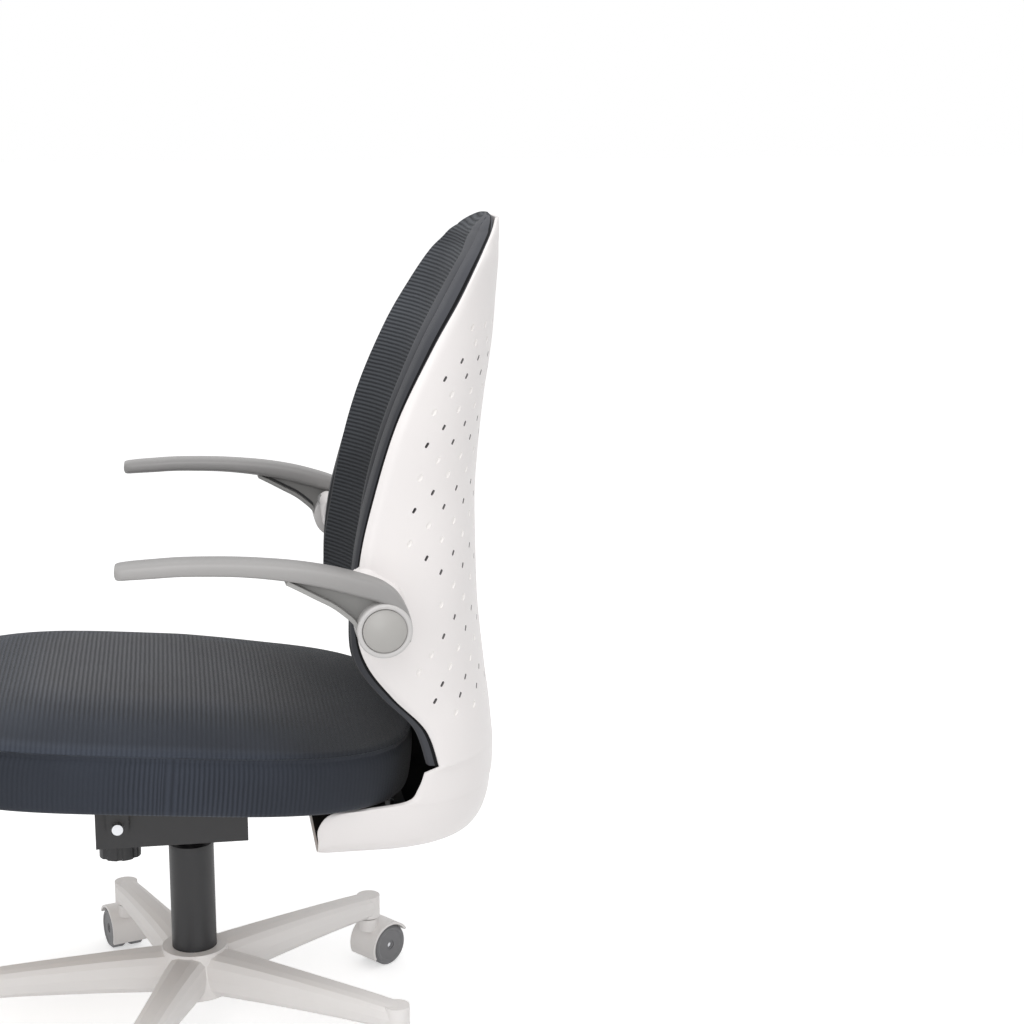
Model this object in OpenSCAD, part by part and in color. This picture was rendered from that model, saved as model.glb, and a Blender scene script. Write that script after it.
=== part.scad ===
// Child's swivel desk chair: wrapped plastic back shell with an upholstered pad,
// crowned seat cushion, two flip-up armrests, tilting seat, gas lift and five twin-wheel castors.
// Millimetres. +Z is up, the sitter faces -Y, +X is the sitter's left.
// Origin: on the floor, on the axis of the gas lift.

/* [Arm pivots] */
// height of the armrest pivots above the floor, gas lift at its lowest
hub_h = 545; // [480:1:620]
// distance of the armrest pivots behind the gas lift axis
hub_back = 190; // [150:1:230]
// distance between the two armrest centre planes
arm_span = 550; // [500:1:600]

/* [Back shell] */
// height of the shell's top edge above the armrest pivots
shell_top = 378; // [340:1:420]
// distance from the armrest pivots down to the end of the pad liner
wing_drop = 172; // [150:1:190]
// distance from the armrest pivots down to the underside of the foot
foot_drop = 281; // [260:1:300]
// width of the shell over its wings at the seat
shell_w = 380; // [350:1:410]
// distance of the rearmost point of the shell behind the pivots
shell_back = 157; // [140:1:175]
// wall thickness of the shell
shell_wall = 5; // [3:0.5:7]
// reach of the foot in front of the pivots
foot_reach = 60; // [40:1:80]
// depth of the rounded corner between wing and rear face
corner_depth = 112; // [80:1:130]
// length of one ventilation slot
slot_len = 8; // [5:0.5:12]
// width of one ventilation slot
slot_w = 3.2; // [2:0.1:5]
// vertical pitch of the openings in one column, slots and dimples in turn
slot_pitch = 33; // [26:1:40]
// depth of the dimples between the slots
dimple_deep = 1.8; // [0.5:0.1:2.5]

/* [Pad and liner] */
// how far the liner's edge stands in front of the shell rim
lip_out = 12; // [6:1:18]
// thickness of the liner behind the pad
liner_wall = 8; // [5:1:12]
// width of the liner's rolled edge beside the pad
lip_w = 24; // [12:1:30]
// depth of the hollow across the pad
pad_hollow = 52; // [30:1:65]
// height of the pad's lower edge above the end of the liner
pad_lift = 71; // [60:1:90]

/* [Seat] */
// width of the seat cushion
seat_w = 452; // [420:1:480]
// length of the seat cushion, front to rear
seat_l = 512; // [480:1:530]
// height of the cushion's side face
seat_side = 64; // [50:1:75]
// rise of the crown above the side seam
seat_crown = 36; // [15:1:42]
// rearward slope of the seat
seat_slope = 4.8; // [0:0.1:6]
// thickness of the seat board
board_t = 8; // [6:0.5:15]

/* [Armrests] */
// length of an armrest from its pivot to the front end
arm_len = 253; // [220:1:280]
// width of the armrest rail
rail_w = 40; // [30:1:50]
// thickness of the rail at its front end
rail_t = 12; // [9:0.5:16]
// outer diameter of the pivot housing
hub_d = 56; // [50:1:64]
// diameter of the domed cap
cap_d = 43; // [36:1:46]
// diameter of the pivot bolt
pivot_d = 10; // [8:1:14]

/* [Gas lift] */
// outer diameter of the standing tube
tube_d = 50; // [48:1:52]
// gap between the standing tube and the housing with the seat at its lowest
tube_gap = 20; // [15:1:40]
// diameter of the moving cylinder
cyl_d = 28; // [27:1:30]
// diameter of the piston rod
rod_d = 8; // [8:1:10]

/* [Tilt mechanism] */
// width of the housing
mech_w = 104; // [90:1:120]
// height of the housing
mech_h = 42; // [35:1:50]
// diameter of the tilt shaft
shaft_d = 12; // [10:1:14]
// distance of the tilt shaft in front of the gas lift axis
shaft_front = 78; // [60:1:95]
// length of the height lever from its fulcrum to the outer end
lever_l = 186; // [160:1:210]

/* [Base and castors] */
// radius of the castor pivots
castor_r = 262; // [230:1:290]
// diameter of the castor wheels
wheel_d = 50; // [40:1:60]
// width of one wheel
wheel_w = 16; // [12:1:20]
// distance of the axle behind the castor pivot
trail = 18; // [12:1:24]
// diameter of the castor stem
stem_d = 11; // [10:1:11]
// height of the castor's shoulder above the floor
castor_top = 61; // [56:1:66]
// height of the star base's hub
star_hub_h = 52; // [40:1:65]

/* [Hidden] */
$fn = 48;
// shell rim and rear profile, top to end of liner: share of the drop, of the depth, of the width
up_z_shares = [1, 0.978, 0.953, 0.922, 0.858, 0.77, 0.64, 0.495, 0.385, 0.267, 0.195, 0.129, 0.067, 0];
up_rim_shares = [0.955, 0.88, 0.81, 0.733, 0.605, 0.415, 0.18,
  0.015, -0.08, -0.112, -0.03, 0.143, 0.337, 0.417];
up_rear_shares = [1, 0.99, 0.981, 0.975, 0.957, 0.93, 0.86, 0.81, 0.806, 0.815, 0.837, 0.86, 0.89, 0.92];
up_half_shares = [0.21, 0.46, 0.6, 0.715, 0.785, 0.845, 0.888, 0.905, 0.945, 0.99, 1, 1, 1, 1];
// foot profile, below the liner: share of the foot drop, depth, width
low_z_shares = [0.055, 0.25, 0.38, 0.435, 0.47, 0.62, 0.79, 0.9, 0.97, 1];
low_rim_shares = [0.32, 0.28, 0.2, -0.1, -0.3, -0.382, -0.382, -0.382, -0.382, -0.382];
low_rear_shares = [0.923, 0.914, 0.91, 0.904, 0.9, 0.888, 0.853, 0.803, 0.72, 0.624];
low_half_shares = [0.995, 0.99, 0.984, 0.981, 0.979, 0.958, 0.916, 0.863, 0.79, 0.71];
floor_rear_shares = [0.38, 0.12, -0.2];
floor_half_shares = [0.5, 0.3, 0.12];
// how far the liner's edge stands out along the rim, top to end: share of lip_out
lip_shares = [1, 1.1, 1.15, 1.35, 1.55, 1.3, 0.8, 0.75, 0.6, 0.5, 0.9, 1, 1, 1];
// arm rail: distance from pivot to tip, height of its top, thickness growth
rail_run_shares = [1, 0.985, 0.94, 0.87, 0.77, 0.66, 0.54, 0.43, 0.32, 0.2, 0.1, 0.01,
  -0.04, -0.071, -0.093, -0.107, -0.111, -0.103];
rail_top_shares = [0.9, 0.945, 0.968, 0.985, 1, 0.995, 0.975, 0.94, 0.89, 0.81, 0.72, 0.62,
  0.52, 0.41, 0.265, 0.1, -0.044, -0.19];
rail_grow_shares = [0.35, 0.65, 0.78, 0.86, 0.95, 1, 1.08, 1.15, 1.25, 1.35, 1.4, 1.35,
  1.25, 1.1, 1, 0.9, 0.8, 0.6];
rail_side_shares = [0.6, 0.86, 0.97, 1, 1, 1, 1, 1, 1, 1, 0.98, 0.95, 0.93, 0.92, 0.91, 0.9, 0.89, 0.87];
corner_pow = 2.5;
corner_arc_share = 0.9;
over = 1;
run_gap = 0.05;
part_gap = 0.5;
join_gap = 0.3;
quarter = 90;
legs = 5;
leg_step = 360 / legs;
half_pts = 15;
pad_pts = 12;
row_div = 2;
hub_y = hub_back;
shell_half = shell_w / 2;
wing_h = shell_top + wing_drop;
foot_h = foot_drop - wing_drop;
arm_x = arm_span / 2;
hub_r = hub_d / 2;
cap_r = cap_d / 2;
// overhang of the cushion's rear edge behind the armrest pivots
seat_tuck = 50;
seat_rear = hub_back + seat_tuck;
seat_front = seat_rear - seat_l;
seat_mid = (seat_front + seat_rear) / 2;
// height of the cushion's underside on the gas lift axis
seat_raise = 1;
under_h = hub_h - wing_drop - seat_side / 2 + seat_raise;
board_inset = 22;
board_half = shell_half - board_inset;
// depth of the housing's top below the cushion's underside
mech_drop = 51;
mech_top = under_h - mech_drop;
mech_bot = mech_top - mech_h;
tube_top = mech_bot - tube_gap;
shaft_edge = 24;
mech_front = shaft_front + shaft_edge;
mech_rear = 62;
mech_wall = 3;
shaft_deep = 16;
shaft_z = mech_top - shaft_deep;
cyl_deep = 14;
cyl_top = mech_top - cyl_deep;
boss_r = 23;
lift_gap = 10;
boss_bot = tube_top + lift_gap;
rod_deep = 40;
rod_top = cyl_top - rod_deep;
tube_bot = 62;
tube_wall = 2;
plate_t = 4;
plate_half = 92;
cheek_gap = 4;
cheek_x = mech_w / 2 + cheek_gap;
star_bot = 58;
star_top = star_bot + star_hub_h;
tip_top = 91;
hole_fn = 32;
round_fn = 64;
ball_fn = 16;
hex_fn = 6;

// Helpers for lofted skins
function clampi(i, n) = max(0, min(n, i));
// smooth curve through a list of shares at position u (0 to len - 1)
function smooth(v, u) =
  let (
    i = clampi(floor(u), len(v) - 2),
    f = u - i,
    a = v[clampi(i - 1, len(v) - 1)],
    b = v[i],
    c = v[i + 1],
    d = v[clampi(i + 2, len(v) - 1)]
  )
  b + f * (c - a) / 2 + f * f * (2 * a - 5 * b + 4 * c - d) / 2
  + f * f * f * (-a + 3 * b - 3 * c + d) / 2;
// position of height share s in a falling list of shares
function place(v, s, i = 0) =
  i >= len(v) - 2 || s >= v[i + 1] ? i + (v[i] - s) / (v[i] - v[i + 1]) : place(v, s, i + 1);

// solid between two grids of equal size, g1 outside, g2 inside
module skin_pair(g1, g2) {
  r = len(g1);
  c = len(g1[0]);
  pts = concat([for (row = g1) each row], [for (row = g2) each row]);
  o = r * c;
  front = [for (i = [0:r - 2]) for (j = [0:c - 2])
    let (a = i * c + j, b = a + c)
    each [[a, b + 1, a + 1], [a, b, b + 1]]];
  back = [for (f = front) [f[2] + o, f[1] + o, f[0] + o]];
  top = [for (j = [0:c - 2]) each [[j, o + j + 1, o + j], [j, j + 1, o + j + 1]]];
  b = (r - 1) * c;
  bottom = [for (j = [0:c - 2])
    each [[b + j, o + b + j + 1, b + j + 1], [b + j, o + b + j, o + b + j + 1]]];
  near = [for (i = [0:r - 2])
    each [[i * c, o + (i + 1) * c, (i + 1) * c], [i * c, o + i * c, o + (i + 1) * c]]];
  e = c - 1;
  far = [for (i = [0:r - 2])
    let (a = i * c + e, b = a + c)
    each [[a, o + b, o + a], [a, b, o + b]]];
  polyhedron(points = pts, faces = concat(front, back, top, bottom, near, far));
}

// solid from a stack of closed rings with equal counts
module ring_stack(rings) {
  r = len(rings);
  c = len(rings[0]);
  pts = [for (row = rings) each row];
  side = [for (i = [0:r - 2]) for (j = [0:c - 1])
    let (k = (j + 1) % c)
    each [[i * c + j, (i + 1) * c + k, i * c + k], [i * c + j, (i + 1) * c + j, (i + 1) * c + k]]];
  polyhedron(points = pts, faces = concat(
    side, [[for (j = [0:c - 1]) j]], [[for (j = [0:c - 1]) (r - 1) * c + c - 1 - j]]));
}

// half section of the back: t runs 0 at the rear centre to 1 at the front edge
function half_sec(half, front, rear, deep, t) =
  let (
    run = rear - front,
    am = run >= deep ? quarter : acos(pow(1 - run / deep, corner_pow / 2)),
    lc = (half + deep) * corner_arc_share * am / quarter,
    s = t * (lc + max(0, run - deep)),
    a = am * min(1, s / lc)
  )
  [
    half * pow(sin(a) / sin(am), 2 / corner_pow),
    rear - deep * (1 - pow(max(0, cos(a)), 2 / corner_pow)) - max(0, s - lc)
  ];
// full row of points from the right edge round to the left edge
function full_row(half, front, rear, deep, z, m) =
  [for (j = [-m:m])
    let (p = half_sec(half, front, rear, deep, abs(j) / m))
    [j < 0 ? -p[0] : p[0], hub_y + p[1], hub_h + z]];

// profile of the wings at station u
function up_z(u) = smooth(up_z_shares, u) * wing_h - wing_drop;
function up_rim(u) = smooth(up_rim_shares, u) * shell_back;
function up_rear(u) = smooth(up_rear_shares, u) * shell_back;
function up_half(u) = smooth(up_half_shares, u) * shell_half;
function low_z(u) = -wing_drop - smooth(low_z_shares, u) * foot_h;
function low_rim(u) = smooth(low_rim_shares, u) * shell_back;
function low_rear(u) = smooth(low_rear_shares, u) * shell_back;
function low_half(u) = smooth(low_half_shares, u) * shell_half;

up_last = len(up_z_shares) - 1;
low_last = len(low_z_shares) - 1;
up_us = [for (i = [0:up_last * row_div]) i / row_div];
low_us = [for (i = [0:low_last]) i];

// the shell's skin, drawn in by off
function shell_grid(off) = concat(
  [for (u = up_us)
    full_row(up_half(u) - off, up_rim(u), up_rear(u) - off, corner_depth - off, up_z(u), half_pts)],
  [for (u = low_us)
    full_row(low_half(u) - off, low_rim(u), low_rear(u) - off, corner_depth - off,
      max(low_z(u), -foot_drop + off), half_pts)],
  [for (k = [0:len(floor_rear_shares) - 1])
    full_row(floor_half_shares[k] * shell_half, -foot_reach, floor_rear_shares[k] * shell_back,
      corner_depth - off, -foot_drop + off, half_pts)]);

// Star base and gas lift
leg_us = [0, 0.12, 0.3, 0.5, 0.7, 0.86, 0.95, 1, 1.045];
leg_top_shares = [1, 0.97, 0.86, 0.7, 0.52, 0.36, 0.24, 0.16, 0];
leg_half_shares = [1, 0.95, 0.84, 0.76, 0.7, 0.67, 0.66, 0.6, 0.36];
leg_low_shares = [0, 0.02, 0.06, 0.1, 0.13, 0.14, 0.14, 0.14, 0.16];
leg_half = 23;
leg_pts = 14;
leg_start_share = 0.1;
leg_pow = 3;
hub_low_share = 1.7;
hub_top_share = 1.45;
socket_deep = 22;
tip_gap = 3;
tip_low = castor_top + tip_gap;
tip_r = 14;

module star_leg() {
  rise = star_top - tip_top;
  ring_stack([for (k = [0:len(leg_us) - 1])
    let (
      x = castor_r * (leg_start_share + (1 - leg_start_share) * leg_us[k]),
      top = tip_top + rise * (leg_top_shares[k] - leg_top_shares[7]) + part_gap,
      low = star_bot + (tip_low - star_bot) * leg_low_shares[k] / leg_low_shares[7],
      h = (top - low) / 2,
      w = leg_half * leg_half_shares[k]
    )
    [for (j = [0:leg_pts - 1])
      let (a = j * 360 / leg_pts, c = cos(a), s = sin(a))
      [x, w * sign(c) * pow(abs(c), 2 / leg_pow),
        low + h + h * sign(s) * pow(abs(s), 2 / leg_pow)]]]);
}

module star_base() color("whitesmoke") {
  difference() {
    union() {
      translate([0, 0, star_bot])
        cylinder(h = star_hub_h, d1 = tube_d * hub_low_share, d2 = tube_d * hub_top_share, $fn = round_fn);
      for (i = [0:legs - 1]) rotate([0, 0, i * leg_step - quarter]) {
        star_leg();
        translate([castor_r, 0, tip_low]) cylinder(h = tip_top - tip_low, r = tip_r, $fn = hole_fn);
      }
    }
    translate([0, 0, star_bot - over]) cylinder(h = star_hub_h + 2 * over, d = tube_d, $fn = round_fn);
    for (i = [0:legs - 1]) rotate([0, 0, i * leg_step - quarter])
      translate([castor_r, 0, tip_low - over - tip_r])
        cylinder(h = over + tip_r + socket_deep, d = stem_d + 2 * run_gap, $fn = hole_fn);
  }
}

module outer_tube() color("dimgray") {
  difference() {
    translate([0, 0, tube_bot]) cylinder(h = tube_top - tube_bot, d = tube_d, $fn = round_fn);
    translate([0, 0, tube_bot + plate_t]) cylinder(h = tube_top, d = tube_d - 2 * tube_wall, $fn = round_fn);
    translate([0, 0, tube_bot - over])
      cylinder(h = plate_t + 2 * over, d = rod_d + 2 * run_gap, $fn = hole_fn);
  }
}

bush_h = 44;
module guide_bush() color("black") {
  difference() {
    union() {
      translate([0, 0, tube_top - bush_h]) cylinder(h = bush_h, d = tube_d - 2 * tube_wall, $fn = round_fn);
      translate([0, 0, tube_top]) cylinder(h = plate_t, d = tube_d, $fn = round_fn);
    }
    translate([0, 0, tube_top - bush_h - over])
      cylinder(h = bush_h + plate_t + 2 * over, d = cyl_d + 2 * run_gap, $fn = round_fn);
  }
}

bearing_h = 6;
bearing_d = 24;
piston_h = 9;
module piston_rod() color("silver") {
  translate([0, 0, tube_bot - over]) cylinder(h = rod_top - tube_bot + over, d = rod_d, $fn = hole_fn);
  translate([0, 0, rod_top - piston_h])
    cylinder(h = piston_h, d = cyl_d - 2 * tube_wall - 2 * run_gap, $fn = hole_fn);
}

module thrust_bearing() color("gray") {
  translate([0, 0, tube_bot + plate_t]) difference() {
    cylinder(h = bearing_h, d = bearing_d, $fn = hole_fn);
    translate([0, 0, -over]) cylinder(h = bearing_h + 2 * over, d = rod_d, $fn = hole_fn);
  }
}

cyl_rest = 4;
cyl_bot = tube_bot + plate_t + bearing_h + cyl_rest;
cyl_plug = 10;
button_d = 8;
button_h = 14;
module gas_cylinder() color("dimgray") {
  difference() {
    translate([0, 0, cyl_bot]) cylinder(h = cyl_top - cyl_bot, d = cyl_d, $fn = round_fn);
    translate([0, 0, cyl_bot + cyl_plug])
      cylinder(h = cyl_top - cyl_bot - 3 * cyl_plug, d = cyl_d - 2 * tube_wall, $fn = round_fn);
    translate([0, 0, cyl_bot - over])
      cylinder(h = cyl_plug + 2 * over, d = rod_d + 2 * run_gap, $fn = hole_fn);
    translate([0, 0, cyl_top - button_h])
      cylinder(h = button_h + over, d = button_d + 2 * run_gap, $fn = hole_fn);
  }
}

lever_deep = 5;
lever_z = mech_top - lever_deep;
lever_d = 8;
button_top = lever_z - lever_d / 2 - join_gap;
module release_button() color("gainsboro") {
  translate([0, 0, cyl_top - button_h / 2])
    cylinder(h = button_top - cyl_top + button_h / 2, d = button_d, $fn = hole_fn);
}

// Tilt mechanism
knob_d = 46;
knob_h = 22;
screw_d = 10;
knob_grips = 8;
grip_share = 0.56;
grip_d = 9;
module mech_housing() color("dimgray") {
  difference() {
    union() {
      difference() {
        translate([-mech_w / 2, -mech_front, mech_bot]) cube([mech_w, mech_front + mech_rear, mech_h]);
        translate([-mech_w / 2 + mech_wall, -mech_front + mech_wall, mech_bot + mech_wall])
          cube([mech_w - 2 * mech_wall, mech_front + mech_rear - 2 * mech_wall, mech_h]);
      }
      translate([0, 0, boss_bot]) cylinder(h = cyl_top - boss_bot, r = boss_r, $fn = round_fn);
      translate([0, -shaft_front, mech_bot - plate_t])
        cylinder(h = plate_t + mech_wall, r = boss_r, $fn = round_fn);
    }
    translate([0, 0, boss_bot - over]) cylinder(h = mech_h * 2, d = cyl_d, $fn = round_fn);
    translate([0, -shaft_front, mech_bot - plate_t - over])
      cylinder(h = mech_h / 2, d = screw_d + 2 * run_gap, $fn = hole_fn);
    translate([-mech_w, -shaft_front, shaft_z]) rotate([0, quarter, 0])
      cylinder(h = 2 * mech_w, d = shaft_d, $fn = hole_fn);
    translate([-mech_w / 2 - over, -lever_d, lever_z - lever_d])
      cube([mech_wall + 2 * over, 2 * lever_d, 2 * lever_d]);
  }
}

shaft_end = 10;
shaft_l = 2 * (cheek_x + shaft_end);
module tilt_shaft() color("silver") {
  translate([-shaft_l / 2, -shaft_front, shaft_z]) rotate([0, quarter, 0])
    cylinder(h = shaft_l, d = shaft_d, $fn = hole_fn);
}

torsion_d = 25;
module torsion_bushes() color("black") {
  bush_l = cheek_x - mech_w / 2 - 2 * join_gap;
  for (s = [-1, 1])
    translate([s * (mech_w / 2 + join_gap + bush_l / 2), -shaft_front, shaft_z]) rotate([0, quarter, 0])
    difference() {
      cylinder(h = bush_l, d = torsion_d, center = true, $fn = hole_fn);
      cylinder(h = bush_l + 2 * over, d = shaft_d, center = true, $fn = hole_fn);
    }
}

module tension_knob() color("black") {
  translate([0, -shaft_front, mech_bot - plate_t - join_gap - knob_h]) {
    difference() {
      cylinder(h = knob_h, d = knob_d, $fn = round_fn);
      for (i = [0:knob_grips - 1]) rotate([0, 0, i * 360 / knob_grips])
        translate([knob_d * grip_share, 0, -over])
          cylinder(h = knob_h + 2 * over, d = grip_d, $fn = hole_fn);
    }
    cylinder(h = knob_h + plate_t + mech_h / 4, d = screw_d, $fn = hole_fn);
  }
}

paddle_l = 72;
paddle_w = 30;
paddle_t = 12;
paddle_dip = 2;
module height_lever() color("silver") {
  translate([-mech_w / 2 - lever_l + paddle_l / 2, 0, lever_z]) rotate([0, quarter, 0])
    cylinder(h = lever_l - paddle_l / 2 + mech_w / 2 + lever_d / 2, d = lever_d, $fn = hole_fn);
}

module lever_paddle() color("black") {
  difference() {
    translate([-mech_w / 2 - lever_l, 0, lever_z]) hull() {
      for (s = [-1, 1]) translate([paddle_t / 2, s * (paddle_w - paddle_t) / 2, -paddle_dip])
        sphere(d = paddle_t - 2 * paddle_dip, $fn = ball_fn);
      translate([paddle_l - paddle_t / 2, 0, 0]) rotate([0, quarter, 0])
        cylinder(h = paddle_t / 2, d = paddle_t + paddle_dip, $fn = ball_fn);
    }
    translate([-mech_w / 2 - lever_l + paddle_l / 2, 0, lever_z]) rotate([0, quarter, 0])
      cylinder(h = paddle_l, d = lever_d, $fn = hole_fn);
  }
}

// Seat
// moves its children into the sloping seat frame, z = 0 on the cushion's underside
module on_seat() translate([0, 0, under_h]) rotate([-seat_slope, 0, 0]) children();

ring_pts = 56;
// squareness of the plan's corners, front and rear
front_pow = 4.6;
rear_pow = 3.2;
crown_pow = 3;
rear_fall_share = 1;
// side face from the bottom up, with the sewn channel under the rolled edge
side_shares = [0.955, 0.985, 0.996, 1, 1.003, 0.998, 0.987, 0.995];
side_z_shares = [0, 0.06, 0.2, 0.5, 0.76, 0.87, 0.91, 0.96];
top_shares = [0.985, 0.95, 0.89, 0.81, 0.7, 0.55, 0.35, 0.05];
function seat_ring(share, z) =
  [for (j = [0:ring_pts - 1])
    let (a = j * 360 / ring_pts, c = cos(a), s = sin(a), n = s < 0 ? front_pow : rear_pow)
    [
      share * seat_w / 2 * sign(c) * pow(abs(c), 2 / n),
      seat_mid + share * seat_l / 2 * sign(s) * pow(abs(s), 2 / n),
      z
    ]];
// the crown falls away towards the rear edge
function crowned(ring, share) =
  [for (p = ring)
    let (v = (p[1] - seat_mid) / (seat_l / 2))
    [p[0], p[1],
      seat_side + seat_crown * (1 - pow(share, crown_pow)) * (1 - rear_fall_share * max(0, v))]];

module seat_cushion() color([0.27, 0.28, 0.31]) {
  on_seat() ring_stack(concat(
    [for (k = [0:len(side_shares) - 1]) seat_ring(side_shares[k], seat_side * side_z_shares[k])],
    [for (f = top_shares) crowned(seat_ring(f, 0), f)]));
}

board_r = 30;
board_margin = 35;
board_shift = 12;
board_l = seat_l - 2 * board_margin;
board_h = board_t - join_gap;
module seat_board() color("black") {
  on_seat() difference() {
    translate([0, seat_mid - board_shift, -board_t]) union() {
      translate([-board_half, board_r - board_l / 2, 0])
        cube([2 * board_half, board_l - 2 * board_r, board_h]);
      translate([board_r - board_half, -board_l / 2, 0])
        cube([2 * (board_half - board_r), board_l, board_h]);
      for (x = [-1, 1]) for (y = [-1, 1])
        translate([x * (board_half - board_r), y * (board_l / 2 - board_r), 0])
          cylinder(h = board_h, r = board_r, $fn = round_fn);
    }
    for (p = concat(plate_holes, strap_top_holes)) translate([p[0], p[1], -board_t - over])
      cylinder(h = board_t + 2 * over, d = bolt_d, $fn = hole_fn);
  }
}

bolt_d = 6;
bolt_head_d = 11.4;
bolt_head_h = 3.6;
bolt_short = 1;
hole_margin = 18;
plate_edge = 42;
plate_front = shaft_front + plate_edge;
plate_rear = 108;
plate_holes = [for (x = [-1, 1]) for (y = [hole_margin - plate_front, plate_rear - hole_margin])
  [x * (plate_half - hole_margin), y]];
module tilt_plate() color("dimgray") {
  difference() {
    union() {
      on_seat() translate([-plate_half, -plate_front, -board_t - plate_t])
        cube([2 * plate_half, plate_front + plate_rear, plate_t]);
      for (s = [-1, 1]) translate([s * (cheek_x + mech_wall / 2), -shaft_front, 0]) rotate([0, quarter, 0]) {
        translate([-shaft_z, 0, 0]) cylinder(h = mech_wall, r = shaft_d, center = true, $fn = round_fn);
        translate([-shaft_z - plate_lift, -shaft_d, -mech_wall / 2])
          cube([plate_lift, 2 * shaft_d, mech_wall]);
      }
    }
    for (p = plate_holes) on_seat() translate([p[0], p[1], -board_t - plate_t - over])
      cylinder(h = plate_t + 2 * over, d = bolt_d, $fn = hole_fn);
    translate([-mech_w, -shaft_front, shaft_z]) rotate([0, quarter, 0])
      cylinder(h = 2 * mech_w, d = shaft_d + 2 * run_gap, $fn = hole_fn);
  }
}
// height of the plate above the tilt shaft
plate_lift = under_h + shaft_front * tan(seat_slope) - board_t - plate_t - shaft_z + over;

module plate_bolts() color("silver") {
  for (p = plate_holes) on_seat() translate([p[0], p[1], -board_t - plate_t]) {
    translate([0, 0, -bolt_head_h]) cylinder(h = bolt_head_h, d = bolt_head_d, $fn = hex_fn);
    cylinder(h = plate_t + board_t - bolt_short, d = bolt_d, $fn = hole_fn);
  }
}

// Back bracket
strap_w = 96;
strap_t = 5;
nut_h = 4.8;
strap_gap = 6;
strap_front = plate_rear + strap_gap;
strap_drop = 158;
strap_rear = 238;
floor_z = hub_h - foot_drop + shell_wall + join_gap;
strap_margin = 24;
strap_pitch = 38;
strap_holes = [for (x = [-1, 1]) for (y = [0, 1])
  [x * strap_w / 3, strap_drop + strap_margin + y * strap_pitch]];
strap_top_margin = 20;
strap_top_holes = [for (x = [-1, 1]) [x * strap_w / 3, strap_front + strap_top_margin]];
function seat_low(y) = under_h - (board_t + join_gap) / cos(seat_slope) - y * tan(seat_slope);
module back_bracket() color("dimgray") {
  z0 = seat_low(strap_front);
  z1 = seat_low(strap_drop);
  difference() {
    translate([-strap_w / 2, 0, 0]) rotate([quarter, 0, quarter]) linear_extrude(strap_w) polygon([
      [strap_front, z0], [strap_drop, z1], [strap_drop, floor_z + strap_t], [strap_rear, floor_z + strap_t],
      [strap_rear, floor_z], [strap_drop - strap_t, floor_z],
      [strap_drop - strap_t, seat_low(strap_drop - strap_t) - strap_t], [strap_front, z0 - strap_t]]);
    for (p = strap_holes) translate([p[0], p[1], floor_z - over])
      cylinder(h = strap_t + 2 * over, d = bolt_d, $fn = hole_fn);
    for (p = strap_top_holes) on_seat() translate([p[0], p[1], -board_t - 2 * strap_t])
      cylinder(h = 3 * strap_t, d = bolt_d, $fn = hole_fn);
  }
}

module bracket_bolts() color("silver") {
  low = hub_h - foot_drop;
  for (p = strap_holes) translate([p[0], p[1], low]) {
    translate([0, 0, -bolt_head_h]) cylinder(h = bolt_head_h, d = bolt_head_d, $fn = hex_fn);
    cylinder(h = shell_wall + join_gap + strap_t + bolt_d, d = bolt_d, $fn = hole_fn);
    translate([0, 0, shell_wall + join_gap + strap_t]) cylinder(h = nut_h, d = bolt_head_d, $fn = hex_fn);
  }
  for (p = strap_top_holes) on_seat() translate([p[0], p[1], -board_t - join_gap - strap_t]) {
    translate([0, 0, -bolt_head_h]) cylinder(h = bolt_head_h, d = bolt_head_d, $fn = hex_fn);
    cylinder(h = join_gap + strap_t + board_t - bolt_short, d = bolt_d, $fn = hole_fn);
  }
}

// Back shell, liner and pad
boss_sunk = 20;
boss_step = 3.5;
boss_shift = 8;
arm_gap = 3;
pivot_sunk = 3;
lobe_r = 10;
// centre of the stop pin seen beside the pivot housing
pin_y = -15.5;
pin_z = 22;
pin_d = 15;
pin_deep = 11;
pin_proud = 2;
slot_rows = 13;
slot_cols = 9;
slot_step_share = 0.0922;
slot_high_share = 0.723;
slot_low_share = 0.76;
slot_clear = 26;
slot_hub_clear = 60;
slot_tilt = 35;
boss_in = shell_half - boss_sunk;
boss_out = arm_x - rail_w / 2 - arm_gap;
pivot_in = shell_half - pivot_sunk;
boss_r_out = hub_r - boss_step;

// boss that carries an armrest, with a lobe for the stop pin
module arm_boss(s) {
  translate([s * boss_in, hub_y, hub_h]) rotate([0, s * quarter, 0])
    hull() {
      translate([0, boss_shift, 0]) cylinder(h = over, r = hub_r, $fn = round_fn);
      cylinder(h = boss_out - boss_in, r = boss_r_out, $fn = hole_fn);
      translate([-pin_z * s, pin_y + pin_d / 4, 0])
        cylinder(h = boss_out - boss_in, r = lobe_r, $fn = hole_fn);
    }
}

// space between the shell's walls, run out in front of the rim
module shell_room() ring_stack(
  [for (u = up_us)
    full_row(up_half(u) - shell_wall, up_rim(u) - 2 * lip_out, up_rear(u) - shell_wall,
      corner_depth - shell_wall, up_z(u), half_pts)]);

// an opening stands at share t of the half section and height z; the rest return no point
function vent_at(t, z) =
  let (
    u = place(up_z_shares, (z + wing_drop) / wing_h),
    p = half_sec(up_half(u), up_rim(u), up_rear(u), corner_depth, t),
    q = half_sec(up_half(u), up_rim(u), up_rear(u), corner_depth, t + slot_step_share / 4)
  )
  p[1] - up_rim(u) < slot_clear || norm([p[1], z]) < slot_hub_clear ? []
  : [p[0], p[1], z, atan2(q[1] - p[1], q[0] - p[0])];

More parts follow.
